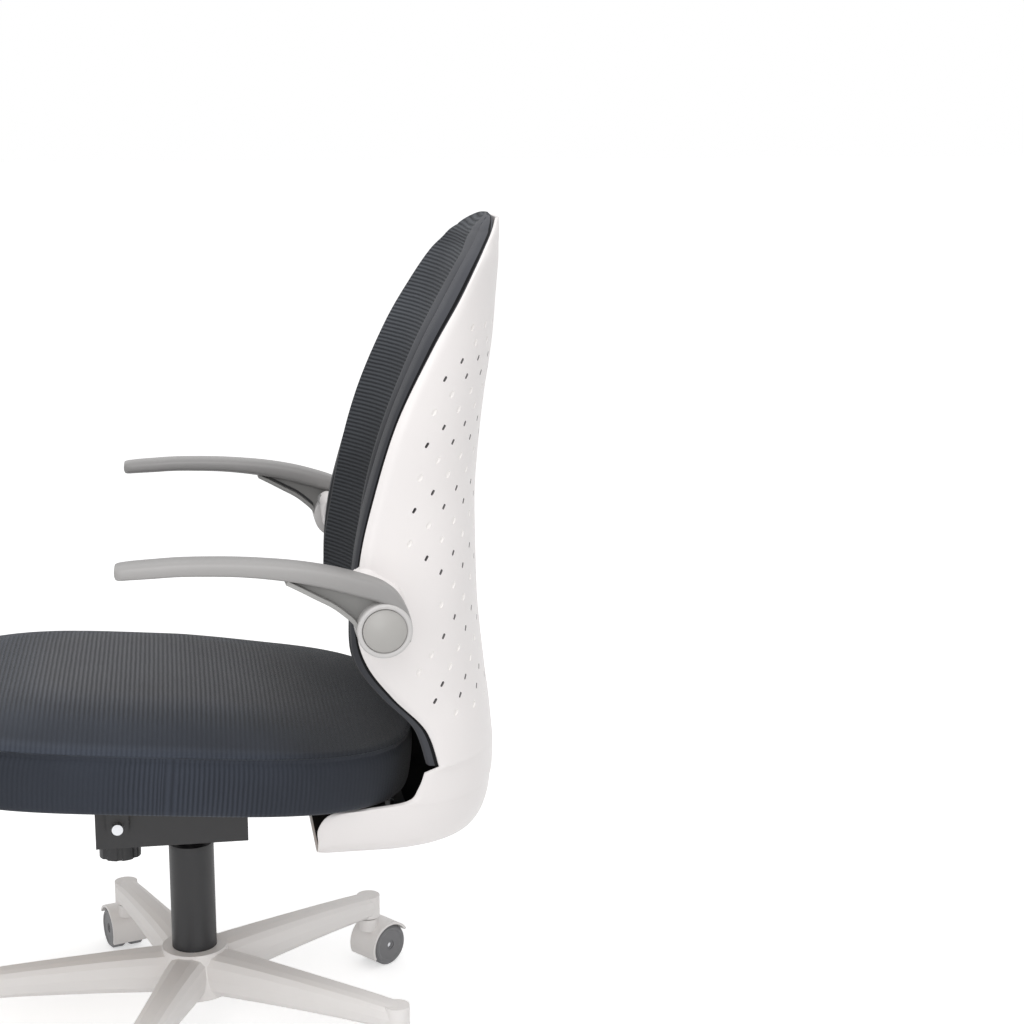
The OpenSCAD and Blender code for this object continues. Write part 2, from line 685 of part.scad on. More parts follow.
// columns stand round the wings and the rear face, each half a pitch off the last;
// slots go through and the dimples between them are shallow
module vents() {
  for (k = [0:slot_cols]) for (i = [0:slot_rows - 1]) for (s = k == 0 ? [1] : [-1, 1]) {
    z = slot_high_share * shell_top - (i + (k % 2) / 2) * slot_pitch;
    v = z > slot_low_share * -wing_drop ? vent_at(k * slot_step_share, z) : [];
    deep = i % 2 == 1 ? 4 * shell_wall : 2 * dimple_deep;
    if (len(v) > 0) translate([s * v[0], hub_y + v[1], hub_h + v[2]])
      rotate([quarter, 0, s * v[3]]) rotate([0, 0, s * slot_tilt])
        cube([slot_w, slot_len, deep], center = true);
  }
}

module back_shell() color([0.93, 0.92, 0.91]) {
  difference() {
    union() {
      skin_pair(shell_grid(0), shell_grid(shell_wall));
      difference() {
        for (s = [-1, 1]) arm_boss(s);
        shell_room();
      }
    }
    vents();
    for (s = [-1, 1]) translate([s * (boss_out + over), hub_y, hub_h]) rotate([0, -s * quarter, 0])
      cylinder(h = boss_out - pivot_in + over, d = pivot_d, $fn = hole_fn);
    for (s = [-1, 1]) translate([s * (boss_out + over), hub_y + pin_y, hub_h + pin_z])
      rotate([0, -s * quarter, 0]) cylinder(h = pin_deep + over, d = pin_d, $fn = hole_fn);
    for (p = strap_holes) translate([p[0], p[1], hub_h - foot_drop - over])
      cylinder(h = shell_wall + 2 * over, d = bolt_d, $fn = hole_fn);
  }
}

module stop_pins() color([0.56, 0.56, 0.56]) {
  for (s = [-1, 1]) translate([s * (boss_out - pin_deep), hub_y + pin_y, hub_h + pin_z])
    rotate([0, s * quarter, 0]) cylinder(h = pin_deep + pin_proud, d = pin_d, $fn = hole_fn);
}

// rolled edge: wide beside the pad, narrow below the armrests
lip_low_share = 0.45;
lip_turn = 7;
lip_fall = 0.22;
hollow_top_share = 0.12;
hollow_run = 5.5;
edge_u = 0.5;
pad_rows = 22;
top_rise = 7;
end_rise = 2;
skin_gap = 1.5;
pad_gap = 0.9;
pad_crest = 1;
tip_share = 0.3;
back_share = 0.45;
hollow_share = 0.6;
crest_pow = 2.4;
spread_pow = 0.8;
wall_in = shell_wall + skin_gap;
pad_last = place(up_z_shares, pad_lift / wing_h);
liner_us = [for (i = [1:up_last * row_div]) i / row_div];
pad_us = [for (i = [0:pad_rows - 1]) edge_u + i * (pad_last - edge_u) / (pad_rows - 1)];
function lip_at(u) = lip_w * (u < lip_turn ? 1 : max(lip_low_share, 1 - lip_fall * (u - lip_turn)));
function lip_in(u) = min(lip_at(u), up_half(u) * tip_share);
function liner_back(u) = min(liner_wall, (up_rear(u) - up_rim(u) - wall_in) * back_share);
function pad_depth(u) = pad_hollow * min(1, max(hollow_top_share, (u - edge_u) / hollow_run));
function lip_front(u) = up_rim(u) - lip_out * smooth(lip_shares, u);
function liner_z(u) = u < 1 ? up_z(u) + top_rise * (1 - u) : up_z(u) + (u == up_last ? end_rise : 0);

module back_liner() color([0.2, 0.21, 0.23]) {
  g1 = [for (u = liner_us)
    full_row(up_half(u) - wall_in, up_rim(u) - skin_gap, up_rear(u) - wall_in, corner_depth - wall_in,
      liner_z(u), pad_pts)];
  g2 = [for (u = liner_us)
    let (b = liner_back(u))
    full_row(up_half(u) - wall_in - lip_in(u), lip_front(u), up_rear(u) - wall_in - b,
      corner_depth - wall_in - b, liner_z(u), pad_pts)];
  skin_pair(g1, g2);
}

// the pad's rear follows the liner and its front is hollow from side to side
module back_pad() color([0.27, 0.28, 0.31]) {
  g1 = [for (u = pad_us)
    let (b = liner_back(u) + pad_gap)
    full_row(up_half(u) - wall_in - lip_in(u) - pad_gap, lip_front(u), up_rear(u) - wall_in - b,
      corner_depth - wall_in - b, liner_z(u), pad_pts)];
  g2 = [for (u = pad_us)
    let (
      h = up_half(u) - wall_in - lip_in(u) - 2 * pad_gap,
      crest = lip_front(u) - pad_crest,
      d = min(pad_depth(u), (up_rear(u) - up_rim(u)) * hollow_share)
    )
    [for (j = [-pad_pts:pad_pts])
      let (f = abs(j) / pad_pts)
      [h * sign(j) * pow(f, spread_pow), hub_y + crest + d * (1 - pow(f, crest_pow)), hub_h + liner_z(u)]]];
  skin_pair(g1, g2);
}

// Armrests
rail_pts = 12;
rail_pow = 3.4;
rail_top_h = 68;
web_t = 12;
flange_t = 4;
flange_w = 32;
dir_step = 0.7;
flange_tilt_shares = [0.55, 0.85];
web_core_shares = [[0, 0.35], [-0.16, 0.66], [-0.3, 0.8]];
ring_step = 1;
rail_last = len(rail_run_shares) - 1;

function rail_at(u) = [-arm_len * smooth(rail_run_shares, u), rail_top_h * smooth(rail_top_shares, u)];
// direction of the rail's top line at station u
function rail_dir(u) =
  let (d = rail_at(min(rail_last, u + dir_step)) - rail_at(max(0, u - dir_step)))
  u < 2 ? rail_dir(2) : d / norm(d);
module arm_rail() {
  // rings across the rail, from the front end round the back of the pivot
  ring_stack([for (u = [0:rail_last])
    let (
      d = rail_dir(u),
      t = rail_t * rail_grow_shares[u],
      w = rail_w / 2 * rail_side_shares[u],
      c = rail_at(u) + [d[1], -d[0]] * t / 2
    )
    [for (j = [0:rail_pts - 1])
      let (
        a = -j * 360 / rail_pts,
        p = w * sign(cos(a)) * pow(abs(cos(a)), 2 / rail_pow),
        q = t / 2 * sign(sin(a)) * pow(abs(sin(a)), 2 / rail_pow)
      )
      [p, c[0] - d[1] * q, c[1] + d[0] * q]]]);
}

web_run_shares = [0.372, 0.317, 0.26, 0.2, 0.155, 0.118, 0.1];
web_low_shares = [0.72, 0.61, 0.49, 0.365, 0.235, 0.1, -0.05];
web_us = [for (i = [0:(len(web_run_shares) - 1) * row_div]) i / row_div];
function web_low(u) = [-arm_len * smooth(web_run_shares, u), rail_top_h * smooth(web_low_shares, u)];

module arm_body() {
  difference() {
    union() {
      arm_rail();
      // recessed web between the rail and the lower flange
      translate([-web_t / 2, 0, 0]) rotate([quarter, 0, quarter]) linear_extrude(web_t) polygon(concat(
        [for (u = web_us) web_low(u)],
        [[0, 0], [hub_r / 2, 0]],
        [for (f = web_core_shares) [arm_len * f[0], rail_top_h * f[1]]]));
      // lower flange
      translate([-flange_w / 2, 0, 0]) rotate([quarter, 0, quarter]) linear_extrude(flange_w) polygon(concat(
        [for (u = web_us) web_low(u)],
        [for (k = [len(web_us) - 1:-1:0]) web_low(web_us[k]) + flange_t * flange_tilt_shares]));
      // pivot housing
      translate([ring_step - rail_w / 2, 0, 0]) rotate([0, quarter, 0])
        cylinder(h = rail_w - ring_step, r = hub_r - ring_step, $fn = round_fn);
    }
    translate([-rail_w, 0, 0]) rotate([0, quarter, 0])
      cylinder(h = 2 * rail_w, d = pivot_d + 2 * run_gap, $fn = hole_fn);
    translate([cap_seat, 0, 0]) rotate([0, quarter, 0]) cylinder(h = rail_w, r = cap_r, $fn = round_fn);
  }
}
cap_deep = 12;
cap_seat = rail_w / 2 - cap_deep;
head_t = 4.5;

module arm_left() color([0.68, 0.68, 0.67])
  translate([arm_x, hub_y, hub_h]) arm_body();
module arm_right() color([0.68, 0.68, 0.67])
  translate([-arm_x, hub_y, hub_h]) mirror([1, 0, 0]) arm_body();

module pivot_bolt(s) {
  translate([s * pivot_in, hub_y, hub_h]) rotate([0, s * quarter, 0])
    cylinder(h = arm_x + cap_seat - pivot_in + join_gap + over, d = pivot_d, $fn = hole_fn);
  translate([s * (arm_x + cap_seat + join_gap), hub_y, hub_h]) rotate([0, s * quarter, 0])
    cylinder(h = head_t, d = pivot_d * 2, $fn = hole_fn);
}
module pivot_bolt_left() color("silver") pivot_bolt(1);
module pivot_bolt_right() color("silver") pivot_bolt(-1);

dome_h = 5;
dome_edge = 1.2;
dome_steps = 9;
module arm_cap() {
  cap_in = cap_seat + head_t + 2 * join_gap;
  rim_h = rail_w / 2 - ring_step - cap_in;
  flat_r = cap_r - dome_edge;
  translate([cap_in, 0, 0]) rotate([0, quarter, 0]) rotate_extrude($fn = round_fn) polygon(concat(
    [[0, 0], [cap_r, 0]],
    [for (k = [0:dome_steps - 1])
      let (a = k * quarter / (dome_steps - 1))
      [flat_r + dome_edge * cos(a), rim_h - dome_edge * (1 - sin(a))]],
    [for (k = [1:dome_steps])
      let (f = 1 - k / dome_steps)
      [flat_r * f, rim_h + dome_h * (1 - f * f)]]));
}
module arm_cap_left() color([0.72, 0.72, 0.7])
  translate([arm_x, hub_y, hub_h]) arm_cap();
module arm_cap_right() color([0.72, 0.72, 0.7])
  translate([-arm_x, hub_y, hub_h]) mirror([1, 0, 0]) arm_cap();

// Castors
wheel_r = wheel_d / 2;
axle_d = 6;
web_half = 3.4;
web_r = 15;
wheel_gap = 0.6;
wheel_in = web_half + wheel_gap;
hood_t = 3;
hood_gap = 1.6;
hood_r = wheel_r + hood_gap + hood_t;
hood_side = 1.5;
hood_half = wheel_in + wheel_w + hood_side;
hood_tilt = 28;
hood_drop = 2;
neck_low = 46;
neck_r = 11;
stem_low = 47.5;
stem_in = 20;
stem_top = tip_low + stem_in;
axle_short = 3;
tread_r = 3;
wheel_bevel = 1;
hub_share = 0.7;
rib_share = 0.78;
recess_deep = 2;

// castor i stands on its leg; the axle lies trail outside the swivel axis
module at_castor(i) rotate([0, 0, (i - 1) * leg_step - quarter]) translate([castor_r, 0, 0]) children();
module on_axle(s) translate([trail, s, wheel_r]) rotate([quarter, 0, 0]) children();
module wheel_room() for (s = [-1, 1]) on_axle(s * (web_half + hood_half))
  cylinder(h = 2 * hood_half, r = wheel_r + hood_gap, center = true, $fn = round_fn);

module castor_hood(i) color("whitesmoke") at_castor(i) difference() {
  union() {
    difference() {
      on_axle(0) cylinder(h = 2 * hood_half, r = hood_r, center = true, $fn = round_fn);
      wheel_room();
      translate([trail, 0, wheel_r]) rotate([0, -hood_tilt, 0])
        translate([-wheel_d, -wheel_d, hood_drop - 2 * wheel_d]) cube(2 * wheel_d);
    }
    on_axle(0) cylinder(h = 2 * web_half, r = web_r, center = true, $fn = hole_fn);
    translate([0, 0, neck_low]) cylinder(h = castor_top - neck_low, r = neck_r, $fn = hole_fn);
  }
  translate([0, 0, stem_low]) cylinder(h = castor_top, d = stem_d, $fn = hole_fn);
  on_axle(0) cylinder(h = wheel_d, d = axle_d, center = true, $fn = hole_fn);
  wheel_room();
}

module castor_pins(i) color("silver") at_castor(i) {
  translate([0, 0, stem_low]) cylinder(h = stem_top - stem_low, d = stem_d, $fn = hole_fn);
  on_axle(0) cylinder(h = 2 * (wheel_in + wheel_w - axle_short), d = axle_d, center = true, $fn = hole_fn);
}

module wheel(i, s) color("gray") at_castor(i)
  translate([trail, s * (wheel_in + wheel_w / 2), wheel_r]) rotate([s * quarter, 0, 0])
  difference() {
    rotate_extrude($fn = round_fn) polygon([
      [axle_d / 2 + run_gap, wheel_bevel - wheel_w / 2], [wheel_r * hub_share, wheel_bevel - wheel_w / 2],
      [wheel_r * rib_share, -wheel_w / 2], [wheel_r - tread_r, -wheel_w / 2],
      [wheel_r, tread_r - wheel_w / 2], [wheel_r, wheel_w / 2 - 2 * wheel_bevel],
      [wheel_r - wheel_bevel, wheel_w / 2], [axle_d / 2 + run_gap, wheel_w / 2]]);
    translate([0, 0, -wheel_w / 2 - over]) cylinder(h = recess_deep + over, r = axle_d, $fn = hole_fn);
  }

module castor_hood_1() castor_hood(1);
module castor_hood_2() castor_hood(2);
module castor_hood_3() castor_hood(3);
module castor_hood_4() castor_hood(4);
module castor_hood_5() castor_hood(5);
module castor_pins_1() castor_pins(1);
module castor_pins_2() castor_pins(2);
module castor_pins_3() castor_pins(3);
module castor_pins_4() castor_pins(4);
module castor_pins_5() castor_pins(5);
module wheel_1a() wheel(1, 1);
module wheel_2a() wheel(2, 1);
module wheel_3a() wheel(3, 1);
module wheel_4a() wheel(4, 1);
module wheel_5a() wheel(5, 1);
module wheel_1b() wheel(1, -1);
module wheel_2b() wheel(2, -1);
module wheel_3b() wheel(3, -1);
module wheel_4b() wheel(4, -1);
module wheel_5b() wheel(5, -1);

star_base();
outer_tube();
guide_bush();
piston_rod();
thrust_bearing();
gas_cylinder();
release_button();
mech_housing();
tilt_shaft();
torsion_bushes();
tension_knob();
height_lever();
lever_paddle();
tilt_plate();
plate_bolts();
seat_board();
seat_cushion();
back_bracket();
bracket_bolts();
back_shell();
back_liner();
back_pad();
stop_pins();
pivot_bolt_left();
pivot_bolt_right();
arm_left();
arm_right();
arm_cap_left();
arm_cap_right();
castor_hood_1();
castor_hood_2();
castor_hood_3();
castor_hood_4();
castor_hood_5();
castor_pins_1();
castor_pins_2();
castor_pins_3();
castor_pins_4();
castor_pins_5();
wheel_1a();
wheel_2a();
wheel_3a();
wheel_4a();
wheel_5a();
wheel_1b();
wheel_2b();
wheel_3b();
wheel_4b();
wheel_5b();
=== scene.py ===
import math
import bpy
import bmesh
from mathutils import Matrix, Vector


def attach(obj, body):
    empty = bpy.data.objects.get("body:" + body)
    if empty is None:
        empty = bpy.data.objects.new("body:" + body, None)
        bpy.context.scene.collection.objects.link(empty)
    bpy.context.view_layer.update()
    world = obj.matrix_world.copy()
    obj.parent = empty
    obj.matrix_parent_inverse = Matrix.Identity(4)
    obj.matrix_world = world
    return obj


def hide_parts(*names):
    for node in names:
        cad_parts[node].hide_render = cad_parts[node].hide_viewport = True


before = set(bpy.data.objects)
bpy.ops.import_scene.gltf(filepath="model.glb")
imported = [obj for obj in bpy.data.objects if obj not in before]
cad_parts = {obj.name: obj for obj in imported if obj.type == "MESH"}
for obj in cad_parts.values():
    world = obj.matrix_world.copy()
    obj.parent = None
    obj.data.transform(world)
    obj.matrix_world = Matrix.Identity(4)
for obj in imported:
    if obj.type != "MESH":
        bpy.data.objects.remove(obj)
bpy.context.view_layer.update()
MM = 0.001

# Driving sizes in millimetres. Depths and heights of the back count from the arm pivots, at HUB_Y and HUB_Z.

HUB_Y, HUB_Z = 190.0, 545.0
SHELL_TOP, WING_DROP, FOOT_DROP = 378.0, 172.0, 281.0
SHELL_HALF, SHELL_BACK, WALL, DEEP = 190.0, 157.0, 5.0, 112.0
WING_H = SHELL_TOP + WING_DROP
FOOT_H = FOOT_DROP - WING_DROP
CORNER_POW, CORNER_SHARE, LEAST_RUN = 2.5, 0.9, 0.3
LINER_GAP, LINER_WALL, LIP_W, LIP_OUT, PAD_HOLLOW = 1.5, 8.0, 24.0, 12.0, 52.0
WALL_IN = WALL + LINER_GAP
SEAT_W, SEAT_L, SEAT_SIDE, SEAT_CROWN, SEAT_SLOPE = 452.0, 512.0, 64.0, 36.0, 4.8
SEAT_MID, UNDER_H, FRONT_POW, REAR_POW = -16.0, 342.0, 4.6, 3.2
SEAT_PITCH, BACK_PITCH = 4.9, 4.6
ARM_LEN, ARM_X, RAIL_W, RAIL_T, RAIL_TOP, RAIL_RISE = 253.0, 275.0, 40.0, 14.0, 68.0, 6.3
HUB_R, CAP_R, BOLT_R = 28.0, 21.5, 5.2

# Height, rim, rear and half width of the back as shares, from its top down to the waist, then down the foot.

UP_Z = [1, 0.978, 0.953, 0.922, 0.858, 0.77, 0.64, 0.495, 0.385, 0.267, 0.195, 0.129, 0.064, -0.008]
UP_RIM = [0.955, 0.88, 0.81, 0.733, 0.605, 0.415, 0.18, 0.015, -0.08, -0.112, -0.048, 0.12, 0.332, 0.417]
UP_REAR = [1, 0.99, 0.981, 0.975, 0.957, 0.93, 0.86, 0.81, 0.806, 0.815, 0.837, 0.862, 0.891, 0.914]
UP_HALF = [0.21, 0.46, 0.6, 0.715, 0.785, 0.845, 0.888, 0.905, 0.945, 0.99, 1, 1, 1, 1]
LOW_Z = [0.095, 0.25, 0.38, 0.435, 0.47, 0.62, 0.79, 0.9, 0.97, 1]
LOW_RIM = [0.32, 0.28, 0.2, -0.1, -0.3, -0.382, -0.382, -0.382, -0.382, -0.382]
LOW_REAR = [0.918, 0.917, 0.912, 0.904, 0.9, 0.888, 0.853, 0.803, 0.72, 0.624]
LOW_HALF = [0.999, 0.995, 0.99, 0.986, 0.982, 0.958, 0.916, 0.863, 0.79, 0.71]
LIP = [1, 1.1, 1.15, 1.35, 1.55, 1.3, 0.8, 0.75, 0.6, 0.5, 0.9, 1, 1, 1]
HALVINGS = 40


def smooth(v, u):
    """Catmull-Rom curve through the values v, read at place u."""
    n = len(v)
    i = max(0, min(n - 2, math.floor(u)))
    f = u - i
    a, b, c, d = v[max(0, i - 1)], v[i], v[i + 1], v[min(n - 1, i + 2)]
    bend, twist = 2 * a - 5 * b + 4 * c - d, -a + 3 * b - 3 * c + d
    return b + f * (c - a) / 2 + f * f * bend / 2 + f ** 3 * twist / 2


def ease(g):
    """Runs from 0 to 1 with flat ends."""
    g = max(0.0, min(1.0, g))
    return g * g * (3 - 2 * g)


def row_at(u):
    """Height, rim, rear and half width of the back at station u."""
    return (smooth(UP_Z, u) * WING_H - WING_DROP, smooth(UP_RIM, u) * SHELL_BACK,
            smooth(UP_REAR, u) * SHELL_BACK, smooth(UP_HALF, u) * SHELL_HALF)


def low_row(u):
    """The same at station u of the foot."""
    return (-WING_DROP - smooth(LOW_Z, u) * FOOT_H, smooth(LOW_RIM, u) * SHELL_BACK,
            smooth(LOW_REAR, u) * SHELL_BACK, smooth(LOW_HALF, u) * SHELL_HALF)


def lip_out(u):
    return LIP_OUT * smooth(LIP, u)


def half_sec(half, front, rear, deep, t):
    """Point at share t along one half of a section, from the middle of its rear face to its rim."""
    run = max(LEAST_RUN, rear - front)
    turn = 90.0 if run >= deep else math.degrees(math.acos((1 - run / deep) ** (CORNER_POW / 2)))
    bend = (half + deep) * CORNER_SHARE * turn / 90
    along = t * (bend + max(0, run - deep))
    a = math.radians(turn * min(1.0, along / bend))
    x = half * (math.sin(a) / math.sin(math.radians(turn))) ** (2 / CORNER_POW)
    y = rear - deep * (1 - max(0.0, math.cos(a)) ** (2 / CORNER_POW)) - max(0, along - bend)
    return x, y


def station(z):
    """Station u at height z over the pivots, found by halving."""
    share, low, high = (z + WING_DROP) / WING_H, 0.0, len(UP_Z) - 1.0
    for _ in range(HALVINGS):
        mid = (low + high) / 2
        if smooth(UP_Z, mid) > share:
            low = mid
        else:
            high = mid
    return low


# Mesh helpers.

def smooth_faces(me):
    for p in me.polygons:
        p.use_smooth = True


def placed(name, data):
    """An object of this data in the scene."""
    ob = bpy.data.objects.new(name, data)
    bpy.context.scene.collection.objects.link(ob)
    return ob


def remove(ob):
    me = ob.data
    bpy.data.objects.remove(ob)
    bpy.data.meshes.remove(me)


def new_object(name, verts, faces, uvs=None):
    """A smooth mesh object. Points are in millimetres, and uvs has one pair for each of them."""
    me = bpy.data.meshes.new(name)
    me.from_pydata([(x * MM, y * MM, z * MM) for x, y, z in verts], [], faces)
    if uvs is not None:
        layer = me.uv_layers.new(name="UVMap")
        for loop in me.loops:
            layer.data[loop.index].uv = uvs[loop.vertex_index]
    me.validate()
    bm = bmesh.new()
    bm.from_mesh(me)
    bmesh.ops.recalc_face_normals(bm, faces=bm.faces)
    bm.to_mesh(me)
    bm.free()
    smooth_faces(me)
    return placed(name, me)


def tube_faces(rows, cols, base=0):
    """Faces of a tube through rows of closed rings, with both ends capped."""
    faces = []
    for i in range(rows - 1):
        for j in range(cols):
            k = (j + 1) % cols
            low, high = base + i * cols, base + (i + 1) * cols
            faces.append((low + j, low + k, high + k, high + j))
    faces.append(tuple(base + j for j in range(cols)))
    faces.append(tuple(base + (rows - 1) * cols + j for j in reversed(range(cols))))
    return faces


def loft(name, rings, uvs=None):
    """One closed skin through rings of equal counts."""
    verts = [p for ring in rings for p in ring]
    uv = [p for ring in uvs for p in ring] if uvs else None
    return new_object(name, verts, tube_faces(len(rings), len(rings[0])), uv)


def sharp_by_angle(ob, degrees):
    me = ob.data
    bm = bmesh.new()
    bm.from_mesh(me)
    lim = math.radians(degrees)
    for e in bm.edges:
        e.smooth = not (len(e.link_faces) == 2 and e.calc_face_angle(0) > lim)
    bm.to_mesh(me)
    bm.free()


def apply_mods(ob):
    deps = bpy.context.evaluated_depsgraph_get()
    deps.update()
    me = bpy.data.meshes.new_from_object(ob.evaluated_get(deps))
    old = ob.data
    ob.modifiers.clear()
    ob.data = me
    me.name = ob.name
    bpy.data.meshes.remove(old)
    smooth_faces(me)


def bevelled(ob, width):
    m = ob.modifiers.new("Bevel", "BEVEL")
    m.width = width * MM
    m.segments = 3
    m.limit_method = "ANGLE"
    m.angle_limit = math.radians(30)
    apply_mods(ob)


def joined(name, obs):
    """One object made of several, which are removed."""
    bm = bmesh.new()
    mats = []
    for o in obs:
        first = len(bm.faces)
        bm.from_mesh(o.data)
        bm.faces.ensure_lookup_table()
        mat = o.data.materials[0]
        if mat not in mats:
            mats.append(mat)
        for f in bm.faces[first:]:
            f.material_index = mats.index(mat)
    me = bpy.data.meshes.new(name)
    bm.to_mesh(me)
    bm.free()
    for mat in mats:
        me.materials.append(mat)
    smooth_faces(me)
    for o in obs:
        remove(o)
    return placed(name, me)


# Shader helpers.

DARKEST = (0.0, 0.0, 0.0, 1.0)
EDGE_BLUE = (0.8, 0.97, 1.24, 1.0)


def col(r, g, b):
    """A colour written as it looks on a screen, 0 to 255."""
    def lin(v):
        v /= 255.0
        return v / 12.92 if v <= 0.04045 else ((v + 0.055) / 1.055) ** 2.4
    return (lin(r), lin(g), lin(b), 1.0)


def toned(base, factor):
    return tuple(min(1.0, c * factor) for c in base[:3]) + (1.0,)


def nodes_of(name):
    m = bpy.data.materials.new(name)
    m.use_nodes = True
    nt = m.node_tree
    nt.nodes.clear()
    out = nt.nodes.new("ShaderNodeOutputMaterial")
    bsdf = nt.nodes.new("ShaderNodeBsdfPrincipled")
    nt.links.new(bsdf.outputs["BSDF"], out.inputs["Surface"])
    return m, nt, bsdf


def math_node(nt, op, a, b=None):
    n = nt.nodes.new("ShaderNodeMath")
    n.operation = op
    for i, v in enumerate((a, b)):
        if v is None:
            continue
        if isinstance(v, (int, float)):
            n.inputs[i].default_value = v
        else:
            nt.links.new(v, n.inputs[i])
    return n.outputs[0]


def times(nt, a, b):
    return math_node(nt, "MULTIPLY", a, b)


def plus(nt, a, b):
    return math_node(nt, "ADD", a, b)


def noise(nt, vec, scale, detail=2.0, rough=0.5):
    n = nt.nodes.new("ShaderNodeTexNoise")
    n.inputs["Scale"].default_value = scale
    n.inputs["Detail"].default_value = detail
    n.inputs["Roughness"].default_value = rough
    nt.links.new(vec, n.inputs["Vector"])
    return n.outputs["Fac"]


def mix_color(nt, fac, a, b, blend="MIX"):
    n = nt.nodes.new("ShaderNodeMix")
    n.data_type = "RGBA"
    n.blend_type = blend
    for sock, v in ((n.inputs[0], fac), (n.inputs[6], a), (n.inputs[7], b)):
        if isinstance(v, tuple):
            sock.default_value = v
        else:
            nt.links.new(v, sock)
    return n.outputs[2]


def ramp(nt, fac, lo, hi, a=0.0, b=1.0):
    """Takes lo to a and hi to b, with no overshoot."""
    n = nt.nodes.new("ShaderNodeMapRange")
    nt.links.new(fac, n.inputs["Value"])
    n.inputs["From Min"].default_value = lo
    n.inputs["From Max"].default_value = hi
    n.inputs["To Min"].default_value = a
    n.inputs["To Max"].default_value = b
    return n.outputs["Result"]


def stops(nt, fac, points):
    """A factor that runs through (place, value) points. The ramp holds halves, which are doubled after it."""
    n = nt.nodes.new("ShaderNodeValToRGB")
    n.color_ramp.interpolation = "EASE"
    lo, hi = points[0][0], points[-1][0]
    nt.links.new(ramp(nt, fac, lo, hi), n.inputs[0])
    els = n.color_ramp.elements
    while len(els) < len(points):
        els.new(0.5)
    for e, (place, value) in zip(els, points):
        e.position = (place - lo) / (hi - lo)
        v = value / 2
        e.color = (v, v, v, 1.0)
    return times(nt, n.outputs["Color"], 2.0)


def bump(nt, bsdf, parts):
    """Chains bump nodes. parts is a list of (height, distance in millimetres, strength)."""
    prev = None
    for height, dist, strength in parts:
        n = nt.nodes.new("ShaderNodeBump")
        n.inputs["Distance"].default_value = dist * MM
        n.inputs["Strength"].default_value = strength
        nt.links.new(height, n.inputs["Height"])
        if prev:
            nt.links.new(prev, n.inputs["Normal"])
        prev = n.outputs["Normal"]
    nt.links.new(prev, bsdf.inputs["Normal"])


def stretched(nt, vec, scale):
    n = nt.nodes.new("ShaderNodeMapping")
    n.inputs["Scale"].default_value = scale
    nt.links.new(vec, n.inputs["Vector"])
    return n.outputs[0]


def object_coords(nt):
    return nt.nodes.new("ShaderNodeTexCoord").outputs["Object"]


def axes_of(nt, vec):
    """X, Y and Z of a vector, by name."""
    n = nt.nodes.new("ShaderNodeSeparateXYZ")
    nt.links.new(vec, n.inputs[0])
    return n.outputs


def axis_of(nt, name):
    return axes_of(nt, object_coords(nt))[name]


def shaded(nt, colour, factor):
    n = nt.nodes.new("ShaderNodeVectorMath")
    n.operation = "SCALE"
    nt.links.new(colour, n.inputs[0])
    nt.links.new(factor, n.inputs["Scale"])
    return n.outputs[0]


# Materials. Sizes of the knit are in millimetres.

RIB_WOBBLE, RIB_POW, RIB_MEAN, FUZZ_DEPTH = 0.9, 0.7, 0.62, 0.1
STITCH, STITCH_LEAN, STITCH_DEPTH, WEAVE_DEPTH, WEAVE_TURN = 1.1, 2.4, 0.22, 0.15, 5.6
COAT_DEPTH, GRAIN_DEPTH = 0.05, 0.2


def plastic(name, base, rough, tint=0.02, depth=0.04, shade=None):
    """Moulded plastic: fine spark grain, soft change of tone and gloss over the part."""
    m, nt, bsdf = nodes_of(name)
    vec = object_coords(nt)
    broad = noise(nt, vec, 6.0)
    fine = noise(nt, vec, 2600.0, 1.0)
    mid = noise(nt, vec, 180.0, 3.0)
    c = mix_color(nt, ramp(nt, broad, 0.3, 0.7), toned(base, 1 - tint), toned(base, 1 + tint * 0.6))
    if shade:
        c = shade(nt, c)
    nt.links.new(c, bsdf.inputs["Base Color"])
    nt.links.new(ramp(nt, mid, 0.3, 0.7, rough - 0.04, rough + 0.05), bsdf.inputs["Roughness"])
    bump(nt, bsdf, [(fine, depth, 0.35), (mid, depth * 2, 0.12)])
    return m


def textile(bsdf, rough, sheen, sheen_rough):
    bsdf.inputs["Roughness"].default_value = rough
    bsdf.inputs["Specular IOR Level"].default_value = 0.25
    bsdf.inputs["Sheen Weight"].default_value = sheen
    bsdf.inputs["Sheen Roughness"].default_value = sheen_rough


